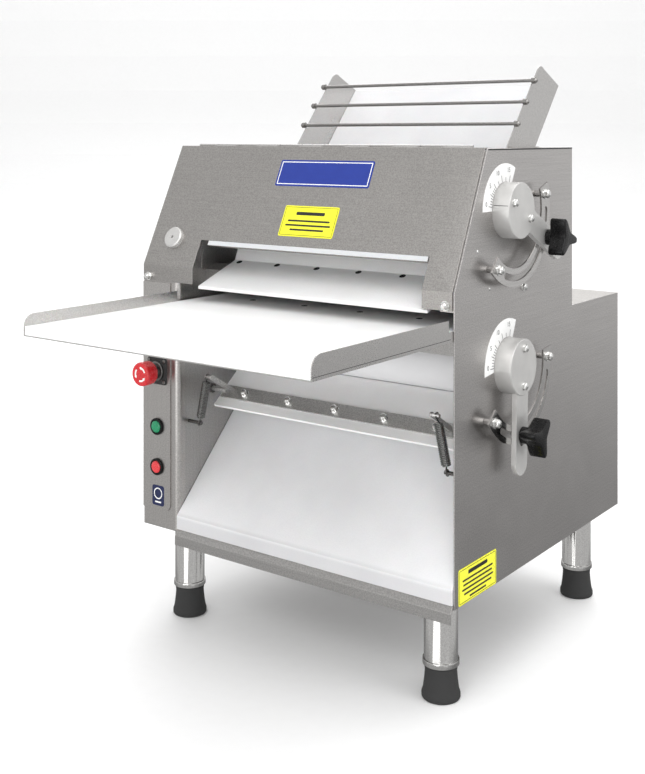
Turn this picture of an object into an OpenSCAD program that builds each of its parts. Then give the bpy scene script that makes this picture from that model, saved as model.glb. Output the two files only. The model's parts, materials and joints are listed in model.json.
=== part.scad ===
// Two-stage countertop dough sheeter.
// Body coordinates: X runs left to right with 0 on the right side, Y runs front to back with 0 on
// the front face, and Z runs up from the underside of the body. place() moves them so that the
// origin is the middle of the footprint, on the floor.

/* [Body] */
// Width over the side panels
body_w = 610; // [560:5:680]
// Depth of the body
body_d = 580; // [540:5:640]
// Height of the rear box
box_h = 380; // [360:5:400]
// Height of the tower
tower_h = 642; // [625:1:660]
// Rear face of the tower
tower_d = 386; // [375:1:400]
// Front edge of the tower's top
ridge_y = 95; // [85:1:105]
// Height of the fold where the front starts to lean back
knee_z = 442; // [435:1:450]
// Thickness of the body sheet
sheet = 2; // [1.5:0.1:2.5]
// Width of the control column on the left
column_w = 80; // [75:1:90]
// Width of the rounded post beside the bay
post_w = 17; // [14:1:18]

/* [Legs] */
// Height of the underside of the body above the floor
leg_h = 157; // [130:1:200]
// Diameter of the leg tubes
leg_d = 50; // [40:1:55]
// Distance from a leg's centre to the body's sides
leg_inset = 55; // [45:1:70]
// Height of a rubber foot
foot_h = 50; // [40:1:60]
// Diameter of a foot where it meets the floor
foot_d = 57; // [54:1:62]
// Diameter of a foot at its top
foot_top_d = 46; // [40:1:50]

/* [Hood] */
// Thickness of the hood sheet
hood_t = 1.5; // [1.2:0.1:2]
// Gap between the hood and the body
hood_gap = 0.3; // [0.2:0.1:0.6]
// Width of the hood's left leg
hood_leg_left = 113; // [105:1:120]
// Width of the hood's right leg
hood_leg_right = 50; // [45:1:60]
// Height of the hood above the knee, along its slope, where its window ends
window_s = 50; // [45:1:54]
// Drop of the hood below the knee
hood_drop = 26; // [22:1:28]
// Outer diameter of the hinge barrel
hinge_d = 5; // [5:0.5:7]

/* [Rollers] */
// Diameter of the four rollers
roller_d = 88.9; // [84:0.1:90]
// Length of a roller's face
roller_l = 508; // [450:1:510]
// Diameter of the roller shafts
shaft_d = 20; // [16:1:22]
// Gap between the upper rollers at rest
upper_gap = 3; // [2.8:0.1:4]
// Gap between the lower rollers at rest
lower_gap = 7.5; // [7.2:0.1:9]
// Angle of the upper pair, from level, downwards to the back
upper_tilt = 50; // [45:1:52]
// Radial running clearance of shafts and pins
run_fit = 0.05; // [0.02:0.01:0.08]

/* [Adjusters] */
// Diameter of an adjuster's drum
drum_d = 84; // [76:1:86]
// Thickness of a drum
drum_t = 28; // [27:1:32]
// Distance from the drum's centre to the clamp knob
knob_r = 100; // [95:1:104]
// Length of a lever from the drum's centre to its tip
lever_l = 160; // [155:1:165]
// Width of a lever
lever_w = 36; // [30:1:40]
// Thickness of a lever
lever_t = 8; // [6:0.5:8]
// Length of the spacers behind the slotted arc
spacer_l = 15; // [12:0.5:15]
// Thickness of the slotted arc
arc_t = 3; // [2:0.5:4]
// Radial width of the slotted arc
arc_w = 28; // [24:1:30]
// Reach of the clamp knobs from the side panel
knob_reach = 62; // [58:1:70]

/* [Tray] */
// Reach of the tray in front of the body
tray_front = 326; // [280:1:350]
// Height of the tray's top
tray_z = 387.5; // [386:0.5:390]
// Thickness of the tray's board
tray_t = 12.7; // [10:0.1:13]
// Height of the tray's side guards above its board
guard_h = 17; // [14:1:20]
// Thickness of the other white sheets
board_t = 5; // [4:0.5:6]

/* [Hopper] */
// Width of the hopper
hopper_w = 427; // [400:1:440]
// Lean of the hopper from upright
hopper_lean = 40.5; // [38:0.5:42]
// Depth of the hopper's side plates
hopper_depth = 76; // [70:1:80]
// Length of the hopper above the tower
hopper_l = 205; // [190:1:215]
// Diameter of the guard rods
rod_d = 6; // [5:0.5:8]

/* [Controls] */
// Diameter of the stop button's head
mushroom_d = 40; // [32:1:40]
// Diameter of a push button's bezel
bezel_d = 28.5; // [27:0.5:30]
// Diameter of the holes that the controls sit in
control_bore = 22.3; // [22:0.1:22.5]

/* [Hidden] */
$fn = 64;

// Widths and planes of the bay
bay_l = -(body_w - column_w);
bay_r = -sheet;
bay_c = (bay_l + bay_r) / 2;
bay_w = bay_r - bay_l;
slope_a = atan2(ridge_y, tower_h - knee_z);
slope_l = norm([ridge_y, tower_h - knee_z]);
hood_out = hood_gap + hood_t;

// Overall reach, which sets the origin
gland_out = 18;
shift_x = (body_w - knob_reach) / 2;
shift_y = -(body_d + gland_out - tray_front) / 2;

// Each stage is [front roller's y, z, direction of the pair, gap, adjuster's y, z, lever's angle,
// first and last angle of the slotted arc's bolts]
upper = [148.6, 544.2, -upper_tilt, upper_gap, 150, 550, 333, 237, 372];
lower = [154.3, 311.2, 0, lower_gap, 156, 317, 268, 225, 360];
function front_axis(s) = [s[0], s[1]];
function rear_axis(s) = front_axis(s) + (roller_d + s[3]) * [cos(s[2]), sin(s[2])];

// Set-back of the flanges behind the edge that they are folded from
flange_in = 0.3;

// Places along X inside the bay and the column
flange_t = 6;
carrier_t = 7;
carrier_gap = 0.3;
roller_l0 = bay_c - roller_l / 2;
roller_l1 = bay_c + roller_l / 2;
gear_x = bay_l - sheet - 20;
gear_t = 15;
upper_chain_x = gear_x - 14;
lower_chain_x = gear_x - 30;
sprocket_t = 8;
shaft_l0 = lower_chain_x - 4;

// Gears with long teeth, which stay in mesh as a roller gap changes
gear_teeth = 12;
gear_tip_r = roller_d / 2 + 6.85;
gear_root_r = roller_d / 2 - 7.15;
sprocket_r = 32;
chain_t = 7;
motor_y = 452;
motor_z = 150;

// Bores through the walls
bearing_bore_d = 36;
carrier_slot_d = 44;
spigot_r = 15;
drum_bolt_r = 28;

// Scraper, in its own slanting frame: v along the blade towards the roller, n away from it
scraper_y = 82.8;
scraper_z = 223.9;
scraper_a = 39;
blade_low = 29;
blade_gap = 1.3;
bar_w = 25;
bar_t = 3;
pivot_n = 4.2;
pivot_d = 8;
nut_pitch = 94;
spring_y = 26;
spring_top_z = 260;
spring_low_z = 181;
spring_in = 20;
spring_wall = 25;
arm_x = 50;

// Pieces that hold the boards
tray_l = -522;
rail_z = 340;
chute_w = 441;
hopper_y = 254;

module place() translate([shift_x, shift_y, leg_h]) children();

// Local x becomes Y, local y becomes Z and local z becomes X, from the point (x, y, z)
module facing_x(x, y, z) translate([x, y, z]) rotate([90, 0, 90]) children();

// Round bar along X
module bar_x(x0, x1, y, z, d) facing_x(x0, y, z) cylinder(h = x1 - x0, d = d);

// Flat sheet across X, cut to an outline in Y and Z
module sheet_x(x, t, points) facing_x(x, 0, 0) linear_extrude(t) polygon(points);

// Strip with round ends from a to b, in Y and Z
module link_x(x, t, a, b, w) facing_x(x, a[0], a[1]) linear_extrude(t) {
    circle(d = w);
    rotate(atan2(b[1] - a[1], b[0] - a[0])) {
        translate([0, -w / 2]) square([norm(b - a), w]);
        translate([norm(b - a), 0]) circle(d = w);
    }
}

// Frame on the leaning front: z runs up the slope and y runs into the body
module on_slope() translate([0, 0, knee_z]) rotate([-slope_a, 0, 0]) children();

// Outline of the side panels, in Y and Z
function body_outline() = [[0, 0], [body_d, 0], [body_d, box_h], [tower_d, box_h],
    [tower_d, tower_h], [ridge_y, tower_h], [0, knee_z]];

// ---- Body sheets ----

module left_panel() color("silver") sheet_x(-body_w, sheet, body_outline());

module right_panel() color("silver") difference() {
    union() {
        sheet_x(-sheet, sheet, body_outline());
        on_slope() translate([-18, flange_in, 1]) cube([18 - sheet / 2, sheet, slope_l - 4]);
        translate([-24, flange_in, knee_z - hood_drop - 2]) cube([24 - sheet / 2, sheet, hood_drop]);
    }
    for (s = [upper, lower]) bar_x(-sheet - 1, 1, s[4], s[5], 2 * (spigot_r + run_fit));
}

module bay_wall() color("gray") {
    rise = sheet / cos(slope_a) + sheet;
    lean = tan(slope_a);
    top = tower_h - sheet;
    difference() {
        sheet_x(bay_l - sheet, sheet, [[post_w, sheet], [body_d - sheet, sheet],
            [body_d - sheet, box_h - sheet], [tower_d - sheet, box_h - sheet],
            [tower_d - sheet, top], [(top - knee_z) * lean + rise, top],
            [post_w, knee_z + (post_w - rise) / lean]]);
        for (s = [upper, lower]) {
            bar_x(bay_l - 3, bay_l + 1, rear_axis(s)[0], rear_axis(s)[1], bearing_bore_d);
            bar_x(bay_l - 3, bay_l + 1, front_axis(s)[0], front_axis(s)[1], carrier_slot_d);
        }
        bar_x(bay_l - 3, bay_l + 1, motor_y, motor_z, 40);
    }
}

// Rounded post beside the bay and the face that carries the controls
module column_front() color("gainsboro") difference() {
    top = knee_z - 2;
    post_x = bay_l - post_w;
    union() {
        translate([post_x, post_w / 2, sheet]) cube([post_w, post_w / 2, top - sheet]);
        translate([post_x + post_w / 2, post_w / 2, sheet]) cylinder(h = top - sheet, d = post_w);
        translate([-body_w + sheet, 0, sheet]) cube([post_x + post_w / 2 + body_w - sheet, sheet, top - sheet]);
    }
    control_bores();
}

// Centres of the stop button and the two push buttons
control_x = -body_w + 33.5;
estop_z = 264;
green_z = 170;
red_z = 102;
module control_bores() for (z = [estop_z, green_z, red_z]) translate([control_x, -5, z]) rotate([-90, 0, 0])
    cylinder(h = 12, d = control_bore);

module control_cover() color("silver") difference() {
    x0 = -body_w;
    x1 = bay_l - post_w;
    low = 30;
    high = knee_z - hood_drop - 2;
    corner = 12;
    union() {
        translate([x0, -sheet, low + corner]) cube([x1 - x0, sheet, high - low - corner]);
        translate([x0, -sheet, low]) cube([x1 - x0 - corner, sheet, corner + 1]);
        translate([x1 - corner, -sheet, low + corner]) rotate([-90, 0, 0]) cylinder(h = sheet, r = corner);
    }
    control_bores();
}

// Stepped cover over the back of the tower and of the rear box, with louvre slots
module rear_cover() color("silver") difference() {
    sheet_x(-body_w + sheet, body_w - 2 * sheet, [[body_d - sheet, sheet], [body_d, sheet], [body_d, box_h],
        [tower_d, box_h], [tower_d, tower_h - sheet], [tower_d - sheet, tower_h - sheet],
        [tower_d - sheet, box_h - sheet], [body_d - sheet, box_h - sheet]]);
    for (i = [0:7]) translate([bay_c - 70, body_d - sheet - 1, 200 + 14 * i]) cube([140, sheet + 2, 5]);
    translate([gland_x, body_d - sheet - 1, gland_z]) rotate([-90, 0, 0]) cylinder(h = sheet + 2, d = gland_thread);
}
gland_x = bay_l - 38;
gland_z = 60;
gland_thread = 16;

module tower_top() color("silver") difference() {
    y0 = ridge_y + sheet;
    translate([-body_w + sheet, y0, tower_h - sheet]) cube([body_w - 2 * sheet, tower_d - y0, sheet]);
    translate([bay_c - hopper_w / 2 - 2, hopper_y - 8, tower_h - sheet - 1])
        cube([hopper_w + 4, hopper_depth / cos(hopper_lean) + 16, sheet + 2]);
}

// Floor of the body, with a drip lip folded out of its front edge
module base_pan() color("silver") {
    translate([-body_w + sheet, 0, 0]) cube([body_w - 2 * sheet, body_d - sheet, sheet]);
    sheet_x(bay_l, bay_w, [[0, 0], [0, 6], [-2, 5.6], [-8, -3.6], [-8, -19], [-6.5, -19], [-6.5, -4.2], [-3.4, 0]]);
    translate([bay_l, 0, sheet]) cube([bay_w, sheet, 4]);
}

// Angle across the bay that carries the tray
module tray_rail() color("gray") {
    y0 = 62;
    top = pan_z - 0.5;
    translate([bay_l, y0, rail_z]) cube([bay_w, sheet, top - rail_z]);
    translate([bay_l, y0, top - sheet]) cube([bay_w, 26, sheet]);
}

function leg_places() = [for (x = [leg_inset, body_w - leg_inset], y = [leg_inset, body_d - leg_inset]) [-x, y]];
foot_seat = 12;
collar_h = 8;

// Four tubes, each with a collar above its foot
module legs() color("lightgray") for (p = leg_places()) translate([p[0], p[1], 0]) difference() {
    union() {
        translate([0, 0, -leg_h + foot_h]) cylinder(h = leg_h - foot_h, d = leg_d);
        translate([0, 0, -leg_h + foot_h]) cylinder(h = collar_h, d = leg_d + 4);
    }
    translate([0, 0, -leg_h + foot_h - 1]) cylinder(h = leg_h - foot_h - 5, d = leg_d - 4);
}

// Four rubber feet, each with a plug that fills the end of its tube
module feet() color("black") for (p = leg_places()) translate([p[0], p[1], -leg_h]) {
    cylinder(h = foot_h, d1 = foot_d, d2 = foot_top_d);
    translate([0, 0, foot_h - 1]) cylinder(h = foot_seat, d = leg_d - 4);
}

module cable_gland() color("black") translate([gland_x, body_d, gland_z]) rotate([-90, 0, 0]) difference() {
    union() {
        translate([0, 0, -sheet - 8]) cylinder(h = sheet + 12, d = gland_thread);
        translate([0, 0, -sheet - 6]) cylinder(h = 6, d = 24, $fn = 6);
        cylinder(h = 7, d = 25, $fn = 6);
        translate([0, 0, 7]) cylinder(h = gland_out - 7, d1 = 21, d2 = 14);
    }
    translate([0, 0, -sheet - 9]) cylinder(h = gland_out + 20, d = 8);
}

// ---- Hood ----

hinge_y = ridge_y + 13;
hinge_z = tower_h + hood_gap + hinge_d / 2;
knuckles = 12;
hinge_l = 0.9 * body_w;
knuckle_l = hinge_l / knuckles;
hinge_x0 = -(body_w + hinge_l) / 2;
module knuckle(i) facing_x(hinge_x0 + i * knuckle_l + 0.3, hinge_y, hinge_z) difference() {
    cylinder(h = knuckle_l - 0.6, d = hinge_d, $fn = 32);
    translate([0, 0, -1]) cylinder(h = knuckle_l + 2, r = hinge_d / 4 + run_fit, $fn = 32);
}

// Rear leaf with every other knuckle and the pin
module hinge_leaf_fixed() color("silver") {
    for (i = [0:2:knuckles - 1]) {
        knuckle(i);
        translate([hinge_x0 + i * knuckle_l + 0.3, hinge_y + hinge_d / 4 + run_fit, tower_h])
            cube([knuckle_l - 0.6, 14, 1.2]);
    }
    translate([hinge_x0, hinge_y + hinge_d / 2 + 0.6, tower_h]) cube([hinge_l, 14, 1.2]);
    bar_x(hinge_x0, hinge_x0 + hinge_l, hinge_y, hinge_z, hinge_d / 2);
}

// Front leaf on the hood's top flange
module hood_hinge_leaf() color("silver") for (i = [1:2:knuckles - 1]) {
    knuckle(i);
    translate([hinge_x0 + i * knuckle_l + 0.3, hinge_y - hinge_d / 2 - 8, tower_h + hood_out])
        cube([knuckle_l - 0.6, hinge_d / 4 + 8 - run_fit, 1.2]);
}

// Height of the window's upper edge along the slope, and the screws in the hood's lower flange
screw_z = knee_z - 19;
screw_xs = [-body_w + 13, -14];
hood_knob_x = -body_w + 54.3;
hood_knob_s = 49.5;
hood_x0 = -body_w + 0.5;
hood_x1 = -3;

// Body outline moved out by d, from the foot of the hood to its top flange
function hood_line(d) = [[-d, knee_z - hood_drop], [-d, knee_z + d * tan(slope_a / 2)],
    [ridge_y + d * (tan(slope_a) - 1 / cos(slope_a)), tower_h + d], [ridge_y + 6, tower_h + d]];

// Point s up the slope and n into the body, in Y and Z
function slope_point(s, n) = [s * sin(slope_a) + n * cos(slope_a), knee_z + s * cos(slope_a) - n * sin(slope_a)];

// One sheet: top flange, leaning face with its window, and a lower flange on each leg
module hood_panel() color("darkgray") difference() {
    outer = hood_line(hood_out);
    inner = hood_line(hood_gap);
    lip_h = 8;
    window_x0 = hood_x0 + hood_leg_left;
    window_w = hood_x1 - hood_leg_right - window_x0;
    union() {
        difference() {
            sheet_x(hood_x0, hood_x1 - hood_x0, concat(outer, [inner[3], inner[2], inner[1], inner[0]]));
            sheet_x(window_x0, window_w, [[-20, knee_z - hood_drop - 1], [20, knee_z - hood_drop - 1],
                slope_point(window_s, 12), slope_point(window_s, -12)]);
        }
        on_slope() translate([hopper_x0, -hood_out + 0.4, window_s - lip_h]) cube([hopper_w - 2, 7, lip_h + 2]);
    }
    for (x = screw_xs) translate([x, -10, screw_z]) rotate([-90, 0, 0]) cylinder(h = 12, d = 6 + 2 * run_fit);
}

// Disc that holds the guard switch's magnet
module hood_knob() color("lightgray") on_slope() translate([hood_knob_x, -hood_out, hood_knob_s]) rotate([90, 0, 0])
    difference() {
        union() {
            cylinder(h = 6.5, d = 36);
            translate([0, 0, 6.5]) cylinder(h = 1.5, d1 = 36, d2 = 32);
        }
        translate([0, 0, 4]) cylinder(h = 6, d = 5);
    }

// Captive screws: a hexagon head on the flange and a short shank in it
module hood_screw(x) color("gainsboro") translate([x, -hood_out, screw_z]) rotate([90, 0, 0]) {
    translate([0, 0, -hood_t]) cylinder(h = hood_t, d = 6);
    cylinder(h = 1.2, d = 14);
    translate([0, 0, 1.2]) cylinder(h = 5, d = 11.5, $fn = 6);
    translate([0, 0, 6.2]) cylinder(h = 1.6, d1 = 10, d2 = 6);
}
module hood_screw_left() hood_screw(screw_xs[0]);
module hood_screw_right() hood_screw(screw_xs[1]);

// ---- Hopper ----

// Point a along the hopper and c across it from its front edge, in Y and Z
function hopper_point(a, c) = [hopper_y + a * sin(hopper_lean) + c * cos(hopper_lean),
    tower_h + a * cos(hopper_lean) - c * sin(hopper_lean)];
hopper_t = 1.5;
tip_r = 16;
hopper_low = -98;
liner_low = -109;
hopper_x0 = bay_c - hopper_w / 2;
hopper_x1 = bay_c + hopper_w / 2;

module hopper_side(x) {
    sheet_x(x, hopper_t, [hopper_point(hopper_low, 0), hopper_point(hopper_l - 33, 0),
        hopper_point(hopper_l - 17, tip_r), hopper_point(hopper_l, hopper_depth),
        hopper_point(hopper_low, hopper_depth)]);
    tip = hopper_point(hopper_l - 33, tip_r);
    facing_x(x, tip[0], tip[1]) cylinder(h = hopper_t, r = tip_r);
}

// Two side plates and a back plate, with feet that lie on the tower's top
module hopper_body() color("silver") {
    hopper_side(hopper_x0);
    hopper_side(hopper_x1 - hopper_t);
    sheet_x(hopper_x0, hopper_w, [hopper_point(hopper_low, hopper_depth), hopper_point(hopper_l, hopper_depth),
        hopper_point(hopper_l, hopper_depth + hopper_t), hopper_point(hopper_low, hopper_depth + hopper_t)]);
    for (x = [hopper_x0 - 14, hopper_x1 - hopper_t]) translate([x, hopper_y + 12, tower_h]) cube([14 + hopper_t, 76, hopper_t]);
}

module hopper_liner() color("white") sheet_x(hopper_x0 + hopper_t + 0.3, hopper_w - 2 * hopper_t - 0.6,
    [hopper_point(liner_low, hopper_depth - board_t), hopper_point(hopper_l - 3, hopper_depth - board_t),
        hopper_point(hopper_l - 3, hopper_depth), hopper_point(liner_low, hopper_depth)]);

// Three guard rods with domed nuts on their ends
module hopper_rods() color("gainsboro") for (i = [0:2]) {
    p = hopper_point(48.5 + i * 47.5, -rod_d / 2);
    bar_x(hopper_x0, hopper_x1, p[0], p[1], rod_d);
    for (x = [hopper_x0 - 6, hopper_x1]) bar_x(x, x + 6, p[0], p[1], rod_d + 4.5);
    for (x = [hopper_x0 - 6, hopper_x1 + 6]) translate([x, p[0], p[1]]) sphere(d = rod_d + 2, $fn = 32);
}

// ---- Rollers ----

module roller(axis) color("white") facing_x(roller_l0, axis[0], axis[1]) difference() {
    cylinder(h = roller_l, d = roller_d);
    translate([0, 0, -1]) cylinder(h = roller_l + 2, d = shaft_d + 10);
}

// Core of a roller: the shaft, a thick middle that the sleeve is fixed to, and its gear
module roller_core(axis, x0, x1, turn) color("lightgray") {
    bar_x(x0, x1, axis[0], axis[1], shaft_d);
    bar_x(roller_l0, roller_l1, axis[0], axis[1], shaft_d + 10);
    facing_x(gear_x, axis[0], axis[1]) rotate(turn) gear();
}

// Gear with straight-sided long teeth
module gear() {
    cylinder(h = gear_t, r = gear_root_r);
    for (i = [0:gear_teeth - 1]) rotate(i * 360 / gear_teeth) linear_extrude(gear_t)
        polygon([[gear_root_r - 2, -5], [gear_tip_r, -1.8], [gear_tip_r, 1.8], [gear_root_r - 2, 5]]);
}

// Sprocket: a disc with a row of small round teeth
module sprocket(axis, x) facing_x(x, axis[0], axis[1]) {
    cylinder(h = sprocket_t, r = sprocket_r - 4);
    for (i = [0:15]) rotate(i * 22.5) translate([sprocket_r - 4, 0, sprocket_t / 4])
        cylinder(h = sprocket_t / 2, r = 4, $fn = 24);
}

function mesh_turn(s) = s[2] + 180 / gear_teeth;
front_end_l = gear_x - 3;
front_end_r = bay_r - carrier_gap - 3;

module upper_front_roller() roller(front_axis(upper));
module lower_front_roller() roller(front_axis(lower));
module upper_rear_roller() roller(rear_axis(upper));
module lower_rear_roller() roller(rear_axis(lower));
module upper_front_shaft() roller_core(front_axis(upper), front_end_l, front_end_r, upper[2]);
module lower_front_shaft() roller_core(front_axis(lower), front_end_l, front_end_r, lower[2]);
module upper_rear_shaft() {
    roller_core(rear_axis(upper), shaft_l0 + 14, bay_r - 1, mesh_turn(upper));
    color("gray") sprocket(rear_axis(upper), upper_chain_x);
}
module lower_rear_shaft() {
    roller_core(rear_axis(lower), shaft_l0, bay_r - 1, mesh_turn(lower));
    color("gray") {
        sprocket(rear_axis(lower), upper_chain_x);
        sprocket(rear_axis(lower), lower_chain_x);
    }
}

// Bearing flanges of the rear rollers and guide strips of the carriers, on both walls
carrier_len = 66;
carrier_wid = 56;
guide_w = 8;
module bearing_housings() color("dimgray") for (s = [upper, lower]) {
    for (x = [bay_l, bay_r - flange_t]) difference() {
        union() {
            bar_x(x, x + flange_t, rear_axis(s)[0], rear_axis(s)[1], 58);
            if (x == bay_l) bar_x(x - sheet, x + 1, rear_axis(s)[0], rear_axis(s)[1], bearing_bore_d);
        }
        bar_x(x - sheet - 1, x + flange_t + 1, rear_axis(s)[0], rear_axis(s)[1], shaft_d + 2 * run_fit);
    }
    for (x = [bay_l, bay_r - carrier_t], side = [-1, 1])
        facing_x(x, s[0], s[1]) rotate(s[2]) translate([-carrier_len / 2, side > 0 ? carrier_wid / 2 + 0.2 :
            -carrier_wid / 2 - 0.2 - guide_w, 0]) cube([carrier_len, guide_w, carrier_t]);
}

// Sliding bearing plates of a front roller, with a clearance pocket for the adjuster's cam pin
pocket_r = 23;
pocket_t = 2.9;
module carriers(s) {
    for (x = [bay_l + carrier_gap, bay_r - carrier_gap - carrier_t]) difference() {
        facing_x(x, s[0], s[1]) rotate(s[2]) translate([-carrier_len / 2 + 3, -carrier_wid / 2, 0])
            cube([carrier_len - 6, carrier_wid, carrier_t]);
        bar_x(x - 1, x + carrier_t + 1, s[0], s[1], shaft_d + 2 * run_fit);
        if (x > bay_c) bar_x(x + carrier_t - pocket_t, x + carrier_t + 1, s[4], s[5], 2 * pocket_r);
    }
}
module upper_carriers() color("slategray") carriers(upper);
module lower_carriers() color("slategray") carriers(lower);

// Blade under the upper front roller, on ears of its carriers
module upper_scraper() color("whitesmoke") {
    contact = 215;
    from = front_axis(upper) + (roller_d / 2 + 0.4) * [cos(contact), sin(contact)];
    dir = [cos(contact - 12), sin(contact - 12)];
    side = [-dir[1], dir[0]];
    sheet_x(roller_l0 + 6, roller_l - 12, [from, from + 34 * dir, from + 34 * dir + 4 * side, from + 4 * dir + 4 * side]);
    ear = from + 26 * dir + 1.3 * side;
    bar_x(bay_l + carrier_gap + carrier_t, bay_r - carrier_gap - carrier_t, ear[0], ear[1], 10);
    for (x = [bay_l + carrier_gap + carrier_t, bay_r - carrier_gap - carrier_t - 2])
        link_x(x, 2, ear, front_axis(upper) + 20 * [cos(contact), sin(contact)], 12);
}

// ---- Adjusters ----

lever_x = spacer_l + arc_t + 0.3;
stud_d = 8;
slot_w = stud_d + 2;
slot_l = 12;
spacer_d = 10;
cam_r = 8;

// Direction from the adjuster's centre, as a frame whose x runs along the lever
module on_adjuster(s, x, a) facing_x(x, s[4], s[5]) rotate(a) children();

// Round drum with a pivot spigot in the panel, a cam pin behind it and a seat for the lever
module drum(s) color("lightgray") {
    difference() {
        union() {
            on_adjuster(s, 0, 0) cylinder(h = drum_t - 1, d = drum_d);
            on_adjuster(s, drum_t - 1, 0) cylinder(h = 1, d1 = drum_d, d2 = drum_d - 2);
            on_adjuster(s, -sheet, 0) cylinder(h = sheet + 1, r = spigot_r);
            on_adjuster(s, -sheet - 2.2, s[6] - 14) translate([cam_r, 0, 0]) cylinder(h = 4, d = 8);
        }
        on_adjuster(s, lever_x, s[6]) translate([-36.3, -lever_w / 2, 0]) cube([drum_d, lever_w, lever_t]);
    }
    for (r = [-drum_bolt_r, drum_bolt_r]) on_adjuster(s, drum_t, s[6]) translate([r, 0, 0]) {
        cylinder(h = 1, d = 11);
        cylinder(h = 5, d = 9.5, $fn = 6);
    }
}

// Lever with a slot for the clamp knob's stud
module lever(s) color("gainsboro") on_adjuster(s, lever_x, s[6]) linear_extrude(lever_t) difference() {
    union() {
        translate([-36, -lever_w / 2]) square([36 + lever_l - lever_w / 2, lever_w]);
        translate([lever_l - lever_w / 2, 0]) circle(d = lever_w);
    }
    translate([knob_r, -slot_w / 2]) square([slot_l, slot_w]);
    for (r = [knob_r, knob_r + slot_l]) translate([r, 0]) circle(d = slot_w);
}

// Clamp knob with three tapered lobes, its stud and the nut behind the slotted arc
module knob(s) color("black") {
    hub_x = lever_x + lever_t + 0.3;
    hub_h = 9;
    hub_d = 24.8;
    lobe_l = 32.5;
    lobe_root = 9;
    lobe_tip = 4.5;
    lobe_2d = [[6.3, -10.9], [10, -lobe_root], [lobe_l, -lobe_tip], [lobe_l, lobe_tip], [10, lobe_root]];
    on_adjuster(s, 0, s[6]) translate([knob_r, 0, 0]) {
        translate([0, 0, hub_x]) cylinder(h = hub_h + 2, d = hub_d);
        translate([0, 0, hub_x + hub_h]) linear_extrude(knob_reach - hub_x - hub_h)
            polygon([for (i = [0:2], p = lobe_2d) let (a = i * 120 + 17)
                [p[0] * cos(a) - p[1] * sin(a), p[0] * sin(a) + p[1] * cos(a)]]);
        translate([0, 0, spacer_l - 6]) cylinder(h = hub_x - spacer_l + 7, d = stud_d);
        translate([0, 0, spacer_l - 5.3]) cylinder(h = 5, d = 14, $fn = 6);
    }
}

// Part of a ring of radial width w, from angle a0 to a1
module arc_2d(w, a0, a1) {
    far = 2 * knob_r;
    difference() {
        intersection() {
            circle(r = knob_r + w / 2, $fn = 128);
            polygon(concat([[0, 0]], [for (i = [0:6]) let (a = a0 + (a1 - a0) * i / 6) far * [cos(a), sin(a)]]));
        }
        circle(r = knob_r - w / 2, $fn = 128);
    }
}

// Slotted arc on its two spacers, with their bolts
module quadrant(s) {
    over = 8;
    stop = 14;
    a0 = s[7];
    a1 = s[8];
    color("silver") on_adjuster(s, spacer_l, 0) linear_extrude(arc_t) difference() {
        arc_2d(arc_w, a0 - over, a1 + over);
        arc_2d(slot_w, a0 + stop, a1 - stop);
        for (a = [a0 + stop, a1 - stop]) rotate(a) translate([knob_r, 0]) circle(d = slot_w - 0.4);
    }
    for (a = [a0, a1]) on_adjuster(s, 0, a) translate([knob_r, 0, 0]) {
        color("lightgray") cylinder(h = spacer_l + 0.5, d = spacer_d);
        color("gainsboro") translate([0, 0, spacer_l + arc_t - 0.5]) cylinder(h = 1.7, d = 15);
        color("gainsboro") translate([0, 0, spacer_l + arc_t - 0.5]) cylinder(h = 7.5, d = 11.5, $fn = 6);
    }
}

module upper_drum() drum(upper);
module lower_drum() drum(lower);
module upper_lever() lever(upper);
module lower_lever() lever(lower);
module upper_knob() knob(upper);
module lower_knob() knob(lower);
module upper_quadrant() quadrant(upper);
module lower_quadrant() quadrant(lower);

// ---- Boards that the dough runs over ----

// Top and underside of the upper chute, from its front edge and from its rear edge
chute_top = [[2, 414], [94, 449], [102, 470], [157, 484]];
chute_low = [chute_top[3] - [0, board_t], chute_top[2] + [4, -board_t - 1], chute_top[1] + [4, -board_t],
    chute_top[0] - [0, board_t]];
chute_hole_pitch = 82.2;
module upper_chute() color("white") difference() {
    sheet_x(bay_c - chute_w / 2, chute_w, concat(chute_top, chute_low));
    for (i = [-2.5:2.5]) translate([bay_c + i * chute_hole_pitch, 88, 436]) cylinder(h = 16, d = 8);
}

// Angle across the bay that carries the chute
module chute_rail() color("gray") {
    y = 68;
    depth = 24;
    fall = (chute_low[2][1] - chute_low[3][1]) / (chute_low[2][0] - chute_low[3][0]);
    z = chute_low[3][1] + (y - chute_low[3][0]) * fall;
    sheet_x(bay_l, bay_w, [[y, z], [y + depth, z + depth * fall], [y + depth, z + depth * fall - sheet],
        [y + sheet, z - sheet], [y + sheet, z - depth], [y, z - depth]]);
}

// Board that the finished sheet slides down
slide_top = [[-4, 28.7], [226, 268]];
module slide_sheet() color("white") sheet_x(bay_l + 0.5, bay_w - 1, [[-4, 6.2], slide_top[0], slide_top[1],
    slide_top[1] + [3.5, -3.7], [3, 25.4], [3, 6.2]]);

// Leaning plate that turns the dough from the tray down between the lower rollers
module infeed_guide() color("whitesmoke") {
    low = rear_axis(lower) + [7, roller_d / 2 + 3];
    high = [tower_d - sheet, low[1] + 73];
    sheet_x(bay_l, bay_w, [low, high, high + [0, 2 * sheet], low + [0, 2 * sheet]]);
}

// ---- Tray ----

guard_t = 1.5;
tray_hole_pitch = 108.5;
tray_back = 184;
tray_x1 = bay_r - 0.3;
pan_z = tray_z - tray_t - guard_t;
guard_top = tray_z + guard_h;

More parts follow.
